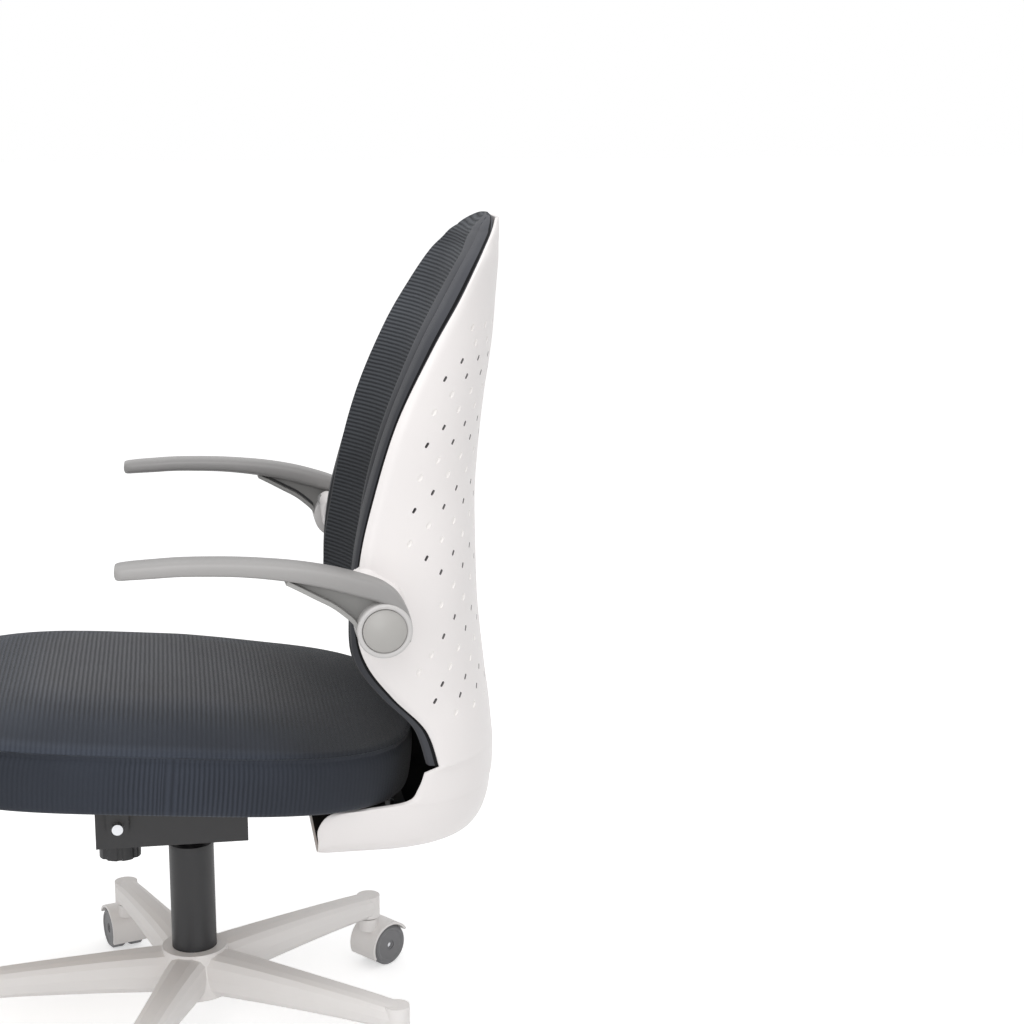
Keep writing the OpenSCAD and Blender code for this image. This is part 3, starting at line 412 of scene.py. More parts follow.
def ribbed(name, base, groove_shade, pitch, depth, sheen, shade, fade=None):
    """Ribbed knit. UV is in metres: u runs along the ribs and v across them."""
    m, nt, bsdf = nodes_of(name)
    uv = nt.nodes.new("ShaderNodeUVMap")
    uv.uv_map = "UVMap"
    place = axes_of(nt, uv.outputs["UV"])
    vec = object_coords(nt)
    wobble = times(nt, plus(nt, noise(nt, vec, 60.0), -0.5), RIB_WOBBLE * MM)
    phase = times(nt, plus(nt, place["Y"], wobble), 2 * math.pi / (pitch * MM))
    wave = plus(nt, times(nt, math_node(nt, "COSINE", phase), 0.5), 0.5)
    rib = math_node(nt, "POWER", wave, RIB_POW)
    if fade:
        # ribs flatten where the knit is stretched: 1 keeps them, 0 levels them at their mean
        rib = plus(nt, times(nt, plus(nt, rib, -RIB_MEAN), fade(nt)), RIB_MEAN)
    # small stitches along each rib, leaning one way and then the other
    zigzag = times(nt, math_node(nt, "ABSOLUTE", math_node(nt, "SINE", times(nt, phase, 0.5))), STITCH_LEAN)
    turn = plus(nt, times(nt, place["X"], 2 * math.pi / (STITCH * MM)), zigzag)
    loops = plus(nt, times(nt, math_node(nt, "SINE", turn), 0.5), 0.5)
    fuzz = noise(nt, vec, 1500.0)
    broad = noise(nt, vec, 9.0, 3.0)
    # painted shade: darker colour in the grooves between ribs and between stitches, on top of their bumps
    c = mix_color(nt, rib, groove_shade, base)
    c = mix_color(nt, times(nt, loops, 0.16), c, DARKEST)
    c = shaded(nt, c, times(nt, ramp(nt, broad, 0.3, 0.7, 0.88, 1.12), ramp(nt, fuzz, 0.25, 0.75, 0.9, 1.1)))
    nt.links.new(shade(nt, c), bsdf.inputs["Base Color"])
    textile(bsdf, 0.85, sheen, 0.45)
    bump(nt, bsdf, [(rib, depth, 1.0), (loops, STITCH_DEPTH, 0.6), (fuzz, FUZZ_DEPTH, 0.3)])
    return m


def cloth(name, base, sheen=0.08, shade=None):
    """Smooth knit with a fine two-way weave."""
    m, nt, bsdf = nodes_of(name)
    vec = object_coords(nt)
    place = axes_of(nt, vec)
    a = math_node(nt, "SINE", times(nt, plus(nt, place["Y"], place["X"]), WEAVE_TURN / MM))
    b = math_node(nt, "SINE", times(nt, place["Z"], WEAVE_TURN / MM))
    weave = plus(nt, times(nt, plus(nt, a, b), 0.25), 0.5)
    fuzz = noise(nt, vec, 1300.0)
    broad = noise(nt, vec, 12.0, 3.0)
    c = mix_color(nt, ramp(nt, broad, 0.3, 0.7), toned(base, 0.9), toned(base, 1.1))
    # painted shade: the hollows of the weave darker, on top of its bump
    c = mix_color(nt, times(nt, math_node(nt, "SUBTRACT", 1.0, weave), 0.25), c, DARKEST)
    if shade:
        c = shade(nt, c)
    nt.links.new(c, bsdf.inputs["Base Color"])
    textile(bsdf, 0.88, sheen, 0.5)
    bump(nt, bsdf, [(weave, WEAVE_DEPTH, 0.6), (fuzz, FUZZ_DEPTH, 0.4)])
    return m


def metal(name, base, rough, painted=False):
    """Drawn steel, or with painted, a powder coat with fine orange peel."""
    m, nt, bsdf = nodes_of(name)
    vec = object_coords(nt)
    grain = stretched(nt, vec, (1.0, 1.0, 1.0) if painted else (4.0, 4.0, 900.0))
    fine = noise(nt, grain, 1600.0 if painted else 3.0)
    broad = noise(nt, vec, 20.0, 3.0)
    c = mix_color(nt, ramp(nt, broad, 0.35, 0.65), toned(base, 0.88), base)
    nt.links.new(c, bsdf.inputs["Base Color"])
    nt.links.new(ramp(nt, fine, 0.3, 0.7, rough - 0.06, rough + 0.1), bsdf.inputs["Roughness"])
    bsdf.inputs["Metallic"].default_value = 0.0 if painted else 1.0
    bump(nt, bsdf, [(fine, COAT_DEPTH, 0.4 if painted else 0.2)])
    return m


def plywood(name):
    """Layers on edge, under a long grain."""
    m, nt, bsdf = nodes_of(name)
    vec = object_coords(nt)
    layers = nt.nodes.new("ShaderNodeTexWave")
    layers.wave_type = "BANDS"
    layers.bands_direction = "Z"
    layers.inputs["Scale"].default_value = 210.0
    layers.inputs["Distortion"].default_value = 0.6
    nt.links.new(vec, layers.inputs["Vector"])
    grain = noise(nt, stretched(nt, vec, (3.0, 60.0, 3.0)), 4.0, 5.0, 0.6)
    c = mix_color(nt, ramp(nt, grain, 0.3, 0.7), col(176, 138, 96), col(205, 170, 126))
    c = mix_color(nt, times(nt, layers.outputs["Fac"], 0.25), c, col(120, 88, 58))
    nt.links.new(c, bsdf.inputs["Base Color"])
    bsdf.inputs["Roughness"].default_value = 0.62
    bump(nt, bsdf, [(grain, GRAIN_DEPTH, 0.3)])
    return m


# Painted light and shade over a piece. Places along an axis are in metres, values are factors.

EDGE_POW = 4.0
# painted shade: the seat's roll darker than its top, by share of the way out to the edge
EDGE_SHADE_STOPS = [(0.2, 0.78), (0.5, 0.72), (0.72, 0.47), (0.92, 0.44), (0.97, 0.62), (1.0, 0.62)]


def far_out(nt, place, half):
    """Distance from the middle as a share of half the size, raised to EDGE_POW."""
    return math_node(nt, "POWER", times(nt, math_node(nt, "ABSOLUTE", place), 1 / (half * MM)), EDGE_POW)


def seat_share(nt):
    """0 in the middle of the seat and 1 at its edge."""
    x = far_out(nt, axis_of(nt, "X"), SEAT_W / 2)
    y = far_out(nt, plus(nt, axis_of(nt, "Y"), -SEAT_MID * MM), SEAT_L / 2)
    return math_node(nt, "POWER", plus(nt, x, y), 1 / EDGE_POW)


def along(nt, c, axis, points):
    """Colour c shaded along one axis."""
    return shaded(nt, c, stops(nt, axis_of(nt, axis), points))


def seat_painted_shade(nt, c):
    """Painted light and shade: lighter front and middle of the seat, darker towards its rear where the back
    shades it, and a darker, bluer roll at its edge, where it turns from the light.
    """
    share = seat_share(nt)
    c = mix_color(nt, ramp(nt, share, 0.5, 0.8, 0.0, 0.7), c, EDGE_BLUE, "MULTIPLY")
    # painted shadow of the back over the rear of the seat
    c = along(nt, c, "Y", [(-0.1, 1.0), (0.04, 0.86), (0.14, 0.42), (0.24, 0.34)])
    return shaded(nt, c, stops(nt, share, EDGE_SHADE_STOPS))


def seat_fade(nt):
    return stops(nt, seat_share(nt), [(0.4, 1.0), (0.66, 0.9), (0.86, 0.25), (1.0, 0.3)])


def side_painted_shade(nt, c):
    """Painted shade: darker towards the front and the back of the seat's side."""
    return along(nt, c, "Y", [(-0.24, 0.62), (0.0, 0.95), (0.14, 0.62), (0.24, 0.42)])


def side_fade(nt):
    """Ribs come and go in broad clouds."""
    return ramp(nt, noise(nt, object_coords(nt), 7.0), 0.38, 0.62, 0.15, 0.85)


def back_painted_light(nt, c):
    """Painted light and shade: lighter over the side crests and the top, where the knit faces the light, and
    darker low down.
    """
    c = shaded(nt, c, ramp(nt, math_node(nt, "ABSOLUTE", axis_of(nt, "X")), 0.07, 0.15, 0.85, 1.3))
    heights = [(0.46, 0.44), (0.56, 0.44), (0.64, 0.5), (0.74, 0.64), (0.83, 1.0), (0.9, 1.15)]
    return along(nt, c, "Z", heights)


def band_painted_shade(nt, c):
    # painted shade: the pad's edge band darker low down and lighter towards the top, where it faces up to the
    # light
    return along(nt, c, "Z", [(0.46, 0.3), (0.58, 0.36), (0.68, 0.5), (0.78, 0.72), (0.86, 0.85)])


def liner_painted_light(nt, c):
    # painted light: the liner lighter low down and at the top, where it lies in shade
    return along(nt, c, "Z", [(0.43, 1.6), (0.5, 1.2), (0.7, 1.1), (0.79, 1.4), (0.85, 1.9)])


def arm_painted_shade(nt, c):
    """Painted shade: inner faces a little darker than the outer ones, and the rise to the pivot darker than the
    rail.
    """
    c = along(nt, c, "Y", [(0.06, 0.95), (0.18, 0.78)])
    return shaded(nt, c, ramp(nt, math_node(nt, "ABSOLUTE", axis_of(nt, "X")), 0.262, 0.286, 0.72, 1.0))


WHITE = plastic("white_shell_plastic", col(233, 229, 228), 0.38)
# painted light: the dimples a brighter white than the shell, as the light they catch
WHITE_DIMPLE_LIT = plastic("white_dimple_plastic", col(240, 237, 235), 0.3, tint=0.01)
# painted shade: the walls of the vent slots a darker grey than the shell, as the shade inside them
SLOT_SHADE = plastic("vent_edge_shaded_plastic", col(150, 148, 148), 0.6, tint=0.05)
WHITE_LOW = plastic("white_base_plastic", col(231, 228, 226), 0.45, tint=0.03)
GREY = plastic("grey_arm_plastic", col(163, 161, 160), 0.46, tint=0.03, shade=arm_painted_shade)
# painted shade: the recessed web a darker grey than the rail above it
GREY_WEB_SHADED = plastic("grey_web_shaded_plastic", col(152, 151, 149), 0.5, tint=0.05, shade=arm_painted_shade)
GREY_FLANGE = plastic("grey_flange_plastic", col(166, 165, 163), 0.5, tint=0.04, shade=arm_painted_shade)
# painted light: the pivot housing a lighter grey than the rail, lifting the shade on its lower edge
GREY_RING_LIT = plastic("grey_ring_plastic", col(194, 192, 191), 0.42)
GREY_CAP = plastic("grey_cap_plastic", col(168, 166, 163), 0.4)
GREY_PIN = plastic("grey_pin_plastic", col(143, 143, 143), 0.5)
BLACK = plastic("black_plastic", col(34, 34, 36), 0.5, tint=0.1, depth=0.1)
TREAD = plastic("wheel_plastic", col(120, 120, 122), 0.55, tint=0.06, depth=0.08)
RUBBER = plastic("bush_rubber", col(28, 28, 28), 0.8, tint=0.1, depth=0.2)
PAINT = metal("black_powder_coat", col(36, 36, 38), 0.45, painted=True)
LIFT = metal("gloss_black_cylinder", col(30, 30, 32), 0.2, painted=True)
STEEL = metal("zinc_steel", (0.62, 0.63, 0.65, 1.0), 0.3)
PLY = plywood("plywood")
SEAT_RIB = ribbed("seat_ribbed_knit", col(100, 101, 106), col(46, 48, 54), SEAT_PITCH, 0.8, 0.14,
                  seat_painted_shade, seat_fade)
BACK_RIB = ribbed("back_ribbed_knit", col(90, 93, 98), col(44, 46, 51), BACK_PITCH, 1.0, 0.05, back_painted_light)
# the side's knit is painted darker than the top's, as shade on a face that turns from the light
SIDE_RIB = ribbed("seat_side_knit", col(64, 69, 80), col(38, 42, 50), SEAT_PITCH, 0.45, 0.14,
                  side_painted_shade, side_fade)
LINER = cloth("liner_cloth", col(58, 59, 63), shade=liner_painted_light)
# painted shadow: near-black cloth for the shadow line between the shell wall and the liner's edge, and for the
# inside of the foot
SHADOW_BLACK = cloth("liner_shadow_cloth", col(20, 20, 22), sheen=0.0)
# the band's colour, lighter than the liner's, is partly its own and partly painted light on a bevel that faces
# up
BAND = cloth("pad_band_cloth", col(94, 95, 99), shade=band_painted_shade)

# Camera at the photograph's viewpoint: metres, degrees and pixels.

CAMERA_AT, YAW, PITCH = (2.155, -0.006, 1.0526), 9.75, 11.8
FOCAL_PX, FRAME_PX, SENSOR = 2009.0, 1024.0, 36.0
yaw, tip = math.radians(YAW), math.radians(PITCH)
fwd = Vector((-math.cos(tip) * math.cos(yaw), math.cos(tip) * math.sin(yaw), -math.sin(tip)))
right = Vector((math.sin(yaw), math.cos(yaw), 0.0))
up = right.cross(fwd)
cam = bpy.data.cameras.new("camera")
cam.sensor_width = SENSOR
cam.lens = FOCAL_PX / FRAME_PX * SENSOR
cam.clip_start = 0.05
cam_ob = placed("camera", cam)
rows = [(right[i], up[i], -fwd[i], CAMERA_AT[i]) for i in range(3)]
cam_ob.matrix_world = Matrix(rows + [(0, 0, 0, 1)])
bpy.context.scene.camera = cam_ob

# Back shell: closed loops round the wall, rounded at the rim.

RIM_ROLL, RIM_REACH, RIM_FULL = 2.2, 9.0, 100.0
WALL_COLS, EDGE_STEPS, UP_STEPS, LOW_STEPS, CROWDING = 56, 6, 8, 5, 1.5
TOE_HALF, TOE_REAR = (0.6, 0.5, 0.3, 0.12), (0.5, 0.38, 0.12, -0.2)
SLOT_COLS, SLOT_ROWS, SLOT_STEP, SLOT_PITCH, SLOT_TILT = 10, 13, 0.0922, 33.0, 35.0
SLOT_TOP, SLOT_END, SLOT_MARGIN, SLOT_CLEAR = 0.723, 0.76, 26.0, 60.0
SLOT_LONG, SLOT_WIDE, SLOT_CUT = 3.2, 1.5, 9.0
DIMPLE_LONG, DIMPLE_WIDE, DIMPLE_DEEP = 4.2, 2.5, 2.0
CUT_COLS, CUT_ROWS = 16, 6
SHELL_CREASE, SOFT_CREASE, HARD_CREASE, ARM_CREASE = 32, 60, 50, 48


def rolled_edge(a, b):
    """Half round that joins one face of the wall at a to the other at b."""
    pts = []
    for k in range(1, EDGE_STEPS):
        f = math.pi * k / EDGE_STEPS
        pts.append((a[0] + (b[0] - a[0]) * (1 - math.cos(f)) / 2, a[1] - WALL / 2 * math.sin(f),
                    a[2] + (b[2] - a[2]) * k / EDGE_STEPS))
    return pts


def wall_loop(half, front, rear, z_out, z_in):
    """Outer face, rounded edge and inner face of one row, as one closed ring."""
    start = front + WALL / 2
    out, inn = [], []
    for j in range(-WALL_COLS, WALL_COLS + 1):
        t = 1 - (1 - abs(j) / WALL_COLS) ** CROWDING
        side = -1 if j < 0 else 1
        p = half_sec(half, start, rear, DEEP, t)
        q = half_sec(half - WALL, start, rear - WALL, DEEP - WALL, t)
        roll = RIM_ROLL * max(0.0, 1 - (p[1] - start) / RIM_REACH) ** 2 * min(1.0, half / RIM_FULL)
        out.append((side * (p[0] - roll), HUB_Y + p[1], HUB_Z + z_out))
        inn.append((side * q[0], HUB_Y + q[1], HUB_Z + z_in))
    return out + rolled_edge(out[-1], inn[-1]) + list(reversed(inn)) + rolled_edge(inn[0], out[0])


def shell_rings():
    rings = []
    for i in range((len(UP_Z) - 1) * UP_STEPS + 1):
        z, rim, rear, half = row_at(i / UP_STEPS)
        rings.append(wall_loop(half, rim, rear, z, z))
    for i in range((len(LOW_Z) - 1) * LOW_STEPS + 1):
        z, rim, rear, half = low_row(i / LOW_STEPS)
        rings.append(wall_loop(half, rim, rear, z, max(z, -FOOT_DROP + WALL)))
    # the foot closes towards its front in shrinking rings
    for half, rear in zip(TOE_HALF, TOE_REAR):
        rim = LOW_RIM[-1] * SHELL_BACK
        rings.append(wall_loop(half * SHELL_HALF, rim, rear * SHELL_BACK, -FOOT_DROP, -FOOT_DROP + WALL))
    return rings


def vent_place(k, i, side):
    """Centre, long axis, short axis and normal of vent i in column k, or None where the pattern ends."""
    z = SLOT_TOP * SHELL_TOP - (i + (k % 2) / 2) * SLOT_PITCH
    if z <= -SLOT_END * WING_DROP:
        return None
    _, rim, rear, half = row_at(station(z))
    p = half_sec(half, rim, rear, DEEP, k * SLOT_STEP)
    q = half_sec(half, rim, rear, DEEP, k * SLOT_STEP + SLOT_STEP / 4)
    if p[1] - rim < SLOT_MARGIN or math.hypot(p[1], z) < SLOT_CLEAR:
        return None
    a = math.atan2(q[1] - p[1], q[0] - p[0])
    across = Vector((side * math.cos(a), math.sin(a), 0)).normalized()
    upward = Vector((0, 0, 1))
    normal = across.cross(upward).normalized()
    # the long axis leans back towards the rear face on both wings
    tilt = math.radians(SLOT_TILT)
    long_axis = (upward * math.cos(tilt) - across * math.sin(tilt)).normalized()
    centre = Vector((side * p[0], HUB_Y + p[1], HUB_Z + z))
    return centre, long_axis, normal.cross(long_axis).normalized(), normal


def slot_points(centre, long_axis, short_axis, normal):
    """Two capsules, before and behind the wall."""
    pts = []
    for d in (-SLOT_CUT, SLOT_CUT):
        for j in range(CUT_COLS):
            f = 2 * math.pi * j / CUT_COLS
            off = (SLOT_LONG - SLOT_WIDE) * (1 if math.sin(f) >= 0 else -1)
            w = centre + long_axis * (off + SLOT_WIDE * math.sin(f)) + short_axis * (SLOT_WIDE * math.cos(f))
            pts.append(tuple(w + normal * d))
    return pts


def dimple_points(centre, long_axis, short_axis, normal):
    """Rings of a lens that lies half in the wall."""
    pts = []
    for r in range(1, CUT_ROWS):
        g = math.pi * r / CUT_ROWS
        size = math.sin(g)
        for j in range(CUT_COLS):
            f = 2 * math.pi * j / CUT_COLS
            w = centre + long_axis * (DIMPLE_LONG * size * math.sin(f))
            w = w + short_axis * (DIMPLE_WIDE * size * math.cos(f)) + normal * (DIMPLE_DEEP * math.cos(g))
            pts.append(tuple(w))
    return pts


def vents():
    """Cutters for the slots and, in every second row, for the dimples."""
    verts, faces, lens = [], [], set()
    for k in range(SLOT_COLS):
        for i in range(SLOT_ROWS):
            for side in ((1,) if k == 0 else (-1, 1)):
                place = vent_place(k, i, side)
                if not place:
                    continue
                base = len(verts)
                if i % 2 == 1:
                    verts += slot_points(*place)
                    faces += tube_faces(2, CUT_COLS, base)
                else:
                    verts += dimple_points(*place)
                    faces += tube_faces(CUT_ROWS - 1, CUT_COLS, base)
                    lens.update(range(base, len(verts)))
    ob = new_object("vent_cutters", verts, faces)
    for mat in (SLOT_SHADE, WHITE_DIMPLE_LIT):
        ob.data.materials.append(mat)
    for p in ob.data.polygons:
        if min(p.vertices) in lens:
            p.material_index = 1
    return ob


shell_stack = shell_rings()
shell = loft("shell", shell_stack)
shell.data.materials.append(WHITE)
shell.data.materials.append(SHADOW_BLACK)
ring_n, face_n = len(shell_stack[0]), 2 * WALL_COLS + 1
inner, low_first = face_n + EDGE_STEPS - 1, (len(UP_Z) - 1) * UP_STEPS + 1
# painted shade: the inside faces of the foot take the near-black cloth
for p in shell.data.polygons:
    inside = all(inner <= v % ring_n < inner + face_n for v in p.vertices)
    if inside and len(p.vertices) == 4 and min(p.vertices) // ring_n >= low_first:
        p.material_index = 1
cutters = vents()
cut = shell.modifiers.new("Vents", "BOOLEAN")
cut.operation = "DIFFERENCE"
cut.solver = "EXACT"
cut.material_mode = "TRANSFER"
cut.object = cutters
apply_mods(shell)
remove(cutters)
sharp_by_angle(shell, SHELL_CREASE)

# Bosses that carry the armrests, flared where they leave the wings.

PIN_Y, PIN_Z, PIN_R, PIN_SHIFT = -15.5, 22.0, 10.0, 3.75
BOSS_IN, BOSS_OUT, BOSS_Y, BOSS_R, BOSS_LEAN, BOSS_FLARE = 172.0, 252.0, 3.0, 21.5, 8.0, 7.0
FLARE_SHARE, BOSS_ROUND, BOSS_SPAN, LEAN_FADE, BOSS_CROWDING = 0.3, 1.2, 26.0, 1.5, 1.2
PIVOT_FLARE, PIN_LEAN = 0.6, 0.8
BOSS_COLS, BOSS_ROWS, ROUND_STEPS = 72, 14, 3


def boss_section(x, side):
    """Hull of the pivot's circle and the stop pin's circle."""
    f = (x - BOSS_IN) / (BOSS_OUT - BOSS_IN)
    flare = BOSS_FLARE * max(0.0, 1 - f / FLARE_SHARE) ** 2
    shift = BOSS_LEAN * (1 - f) ** LEAN_FADE
    circles = [(BOSS_Y + shift, 0.0, BOSS_R + flare * PIVOT_FLARE),
               (PIN_Y + PIN_SHIFT + shift * PIN_LEAN, PIN_Z, PIN_R + flare)]
    pts = []
    for j in range(BOSS_COLS):
        a = 2 * math.pi * j / BOSS_COLS
        d = (math.cos(a), math.sin(a))
        y, z, r = max(circles, key=lambda c: c[0] * d[0] + c[1] * d[1] + c[2])
        pts.append((side * x, HUB_Y + y + r * d[0], HUB_Z + z + r * d[1]))
    return pts


def boss(side):
    reach = BOSS_OUT - BOSS_ROUND - BOSS_IN
    xs = [BOSS_IN + reach * (k / BOSS_ROWS) ** BOSS_CROWDING for k in range(BOSS_ROWS + 1)]
    rings = [boss_section(x, side) for x in xs]
    last = boss_section(BOSS_OUT, side)
    cy = sum(p[1] for p in last) / len(last)
    cz = sum(p[2] for p in last) / len(last)
    for k in range(1, ROUND_STEPS + 1):
        a = math.pi / 2 * k / ROUND_STEPS
        f = 1 - BOSS_ROUND * (1 - math.cos(a)) / BOSS_SPAN
        x = side * (BOSS_OUT - BOSS_ROUND + BOSS_ROUND * math.sin(a))
        rings.append([(x, cy + (y - cy) * f, cz + (z - cz) * f) for _, y, z in last])
    ob = loft("arm_boss_left" if side > 0 else "arm_boss_right", rings)
    sharp_by_angle(ob, HARD_CREASE)
    ob.data.materials.append(WHITE)
    return ob


bosses = [boss(1), boss(-1)]
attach(shell, "seat")
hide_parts("back_shell")
for b in bosses:
    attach(b, "seat")

# Liner: wraps the inside of the shell, with a rolled edge beside the pad.

LIP_TURN, LIP_TAPER, LIP_LEAST, LIP_SHARE, LINER_SHARE = 7.0, 0.22, 0.45, 0.3, 0.45
ROLL_SHARE, ROLL_FROM, ROLL_RUN, LIP_SEAT, LIP_SINK = 0.74, 7.5, 2.0, 4.0, 1.0
LIP_PROFILE = [(0.0, 0.12), (0.0, 0.24), (0.0, 0.36), (0.01, 0.5), (0.03, 0.62), (0.06, 0.72),
               (0.12, 0.8), (0.25, 0.88), (0.45, 0.94), (0.65, 0.98), (0.85, 1.0), (1.0, 0.97)]
TOP_U, LINER_END, LINER_ROWS, LINER_COLS, SHADOW_GAP_LAST = 1.0, 13.0, 110, 40, 2
DOME_ROWS, DOME_TURN, DOME_POW, DOME_LEAN, LEAN_POW = 12, 88.0, 0.36, 0.78, 1.3
LINER_RISE, PAD_RISE = 14.5, 16.0


def liner_wall(u, rim, rear, half):
    """Width of the liner's rolled edge and thickness of its rear wall at station u."""
    width = LIP_W * (1 if u < LIP_TURN else max(LIP_LEAST, 1 - LIP_TAPER * (u - LIP_TURN)))
    return min(width, half * LIP_SHARE), min(LINER_WALL, (rear - rim - WALL_IN) * LINER_SHARE)


def roll_out(u):
    """How far the liner's rolled edge stands out of the shell; the pad stands out further."""
    return lip_out(u) * (ROLL_SHARE + (1 - ROLL_SHARE) * ease((u - ROLL_FROM) / ROLL_RUN))


def liner_ring(u):
    z, rim, rear, half = row_at(u)
    w, b = liner_wall(u, rim, rear, half)
    lip = roll_out(u)
    x0, y0 = half - WALL_IN, rim + LIP_SINK
    out, inn = [], []
    for j in range(-LINER_COLS, LINER_COLS + 1):
        t = abs(j) / LINER_COLS
        side = -1 if j < 0 else 1
        p = half_sec(x0, y0, rear - WALL_IN, DEEP - WALL_IN, t)
        q = half_sec(x0 - w, rim - lip + LIP_SEAT, rear - WALL_IN - b, DEEP - WALL_IN - b, t)
        out.append((side * p[0], p[1]))
        inn.append((side * q[0], q[1]))
    edge = [(x0 - w * fx, y0 + (rim - lip - y0) * fy) for fx, fy in LIP_PROFILE]
    ring = out + edge + list(reversed(inn)) + [(-x, y) for x, y in reversed(edge)]
    return [(x, HUB_Y + y, HUB_Z + z) for x, y in ring]


def domed(rings, rise, centre_y):
    """The rings with a rounded dome over the first one."""
    caps = []
    for k in range(DOME_ROWS, 0, -1):
        level = math.sin(math.radians(DOME_TURN) * k / DOME_ROWS)
        wide, lean = (1 - level) ** DOME_POW, 1 - DOME_LEAN * level ** LEAN_POW
        caps.append([(x * wide, centre_y + (y - centre_y) * lean, z + rise * level) for x, y, z in rings[0]])
    return caps + rings


top_rear = HUB_Y + row_at(TOP_U)[2] - WALL_IN
stack = [liner_ring(TOP_U + i * (LINER_END - TOP_U) / LINER_ROWS) for i in range(LINER_ROWS + 1)]
liner = loft("liner", domed(stack, LINER_RISE, top_rear))
liner.data.materials.append(LINER)
liner.data.materials.append(SHADOW_BLACK)
ring_n, face_n = len(stack[0]), 2 * LINER_COLS + 1
# painted shadow line: the liner's edge faces next to the shell wall take the near-black cloth
shadow_cols = set(range(face_n, face_n + SHADOW_GAP_LAST + 1)) | set(range(ring_n - SHADOW_GAP_LAST - 1, ring_n))
for p in liner.data.polygons:
    if len(p.vertices) == 4 and {v % ring_n for v in p.vertices} <= shadow_cols:
        p.material_index = 1
sharp_by_angle(liner, SOFT_CREASE)
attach(liner, "seat")
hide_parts("back_liner")

# Back pad: hollow across, with ribs that run from side to side.

PAD_GAP, PAD_BACK_GAP, PAD_SINK, PAD_SEAT, PAD_PROUD, PAD_FULL = 1.2, 0.9, 1.0, 4.5, 0.2, 110.0
CREST_TOP, CREST_DIP = (3.0, 1.5, 0.7), (-6.0, 7.8, 0.9)
HOLLOW_FROM, HOLLOW_RUN, HOLLOW_LEAST, HOLLOW_SHARE, HOLLOW_FIT = 0.5, 5.5, 0.12, 0.6, 0.86
HOLLOW_POW, MARGIN, MARGIN_SHARE, EDGE_DROP, RIB_ARC = 3, 5.0, 0.8, 1.5, -8.0
PAD_COLS, EDGE_COLS, PAD_ROWS, PAD_END = 52, 7, 170, 11.0


def swell(u, height, at, spread):
    return height * math.exp(-((u - at) / spread) ** 2)


def pad_depth(u, rim, rear):
    """The source's hollow at station u, a little shallower."""
    hollow = PAD_HOLLOW * min(1, max(HOLLOW_LEAST, (u - HOLLOW_FROM) / HOLLOW_RUN))
    return min(hollow, (rear - rim) * HOLLOW_SHARE) * HOLLOW_FIT


def pad_front(half, crest, depth, fall, j):
    """Distance across and depth of the front face at column j: a hollow, then the rounded edge."""
    flat = max(MARGIN_SHARE * half, half - MARGIN)
    inner = PAD_COLS - EDGE_COLS
    if j <= inner:
        t = 1 - (1 - j / inner) ** CROWDING
        return flat * t, crest + depth * (1 - t ** HOLLOW_POW)
    a = math.pi / 2 * (j - inner) / EDGE_COLS
    return flat + (half - flat) * math.sin(a), crest + (fall + EDGE_DROP) * (1 - math.cos(a))


def pad_rings():
    rings, uvs = [], []
    last, arc = None, 0.0
    for i in range(PAD_ROWS + 1):
        u = TOP_U + i * (PAD_END - TOP_U) / PAD_ROWS
        z, rim, rear, half = row_at(u)
        w, b = liner_wall(u, rim, rear, half)
        roll, deep = roll_out(u), WALL_IN + b + PAD_BACK_GAP
        wide = half - WALL_IN - w - PAD_GAP
        full = min(1.0, wide / PAD_FULL)
        proud = PAD_PROUD * full + swell(u, *CREST_TOP) + swell(u, *CREST_DIP)
        crest = rim - lip_out(u) - PAD_SINK - proud
        fall = rim - roll - PAD_SINK - crest
        depth = pad_depth(u, rim, rear)
        front, back, row = [], [], []
        for j in range(-PAD_COLS, PAD_COLS + 1):
            side = -1 if j < 0 else 1
            x, y = pad_front(wide, crest, depth, fall, abs(j))
            front.append((side * x, HUB_Y + y, HUB_Z + z))
            q = half_sec(half - WALL_IN - w - PAD_BACK_GAP, rim - roll + PAD_SEAT, rear - deep, DEEP - deep,
                         abs(j) / PAD_COLS)
            back.append((side * q[0], HUB_Y + q[1], HUB_Z + z))
            row.append((side * x, RIB_ARC * full * (x / wide) ** 2))
        edge = front[-1]
        if last:
            arc += math.hypot(edge[1] - last[1], edge[2] - last[2])
        last = edge
        row = [(x * MM, (arc - dip) * MM) for x, dip in row]
        rings.append(front + list(reversed(back)))
        uvs.append(row + list(reversed(row)))
    top = domed(rings, PAD_RISE, top_rear)
    rises = [(ring[0][2] - rings[0][0][2]) * MM for ring in top[:DOME_ROWS]]
    return top, [[(u, v - rise) for u, v in uvs[0]] for rise in rises] + uvs


stack, uvs = pad_rings()
pad = loft("back_cushion", stack, uvs)
pad.data.materials.append(BACK_RIB)
pad.data.materials.append(BAND)
ring_n, far_edge = len(stack[0]), 2 * PAD_COLS
for p in pad.data.polygons:
    cols = {v % ring_n for v in p.vertices}
    on_edge = max(cols) <= EDGE_COLS or far_edge - EDGE_COLS <= min(cols) and max(cols) <= far_edge
    if len(p.vertices) == 4 and on_edge:
        p.material_index = 1
sharp_by_angle(pad, SOFT_CREASE)
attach(pad, "seat")
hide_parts("back_pad")

# Seat cushion: crowned top, rolled edge, sewn channel and ribbed side face.

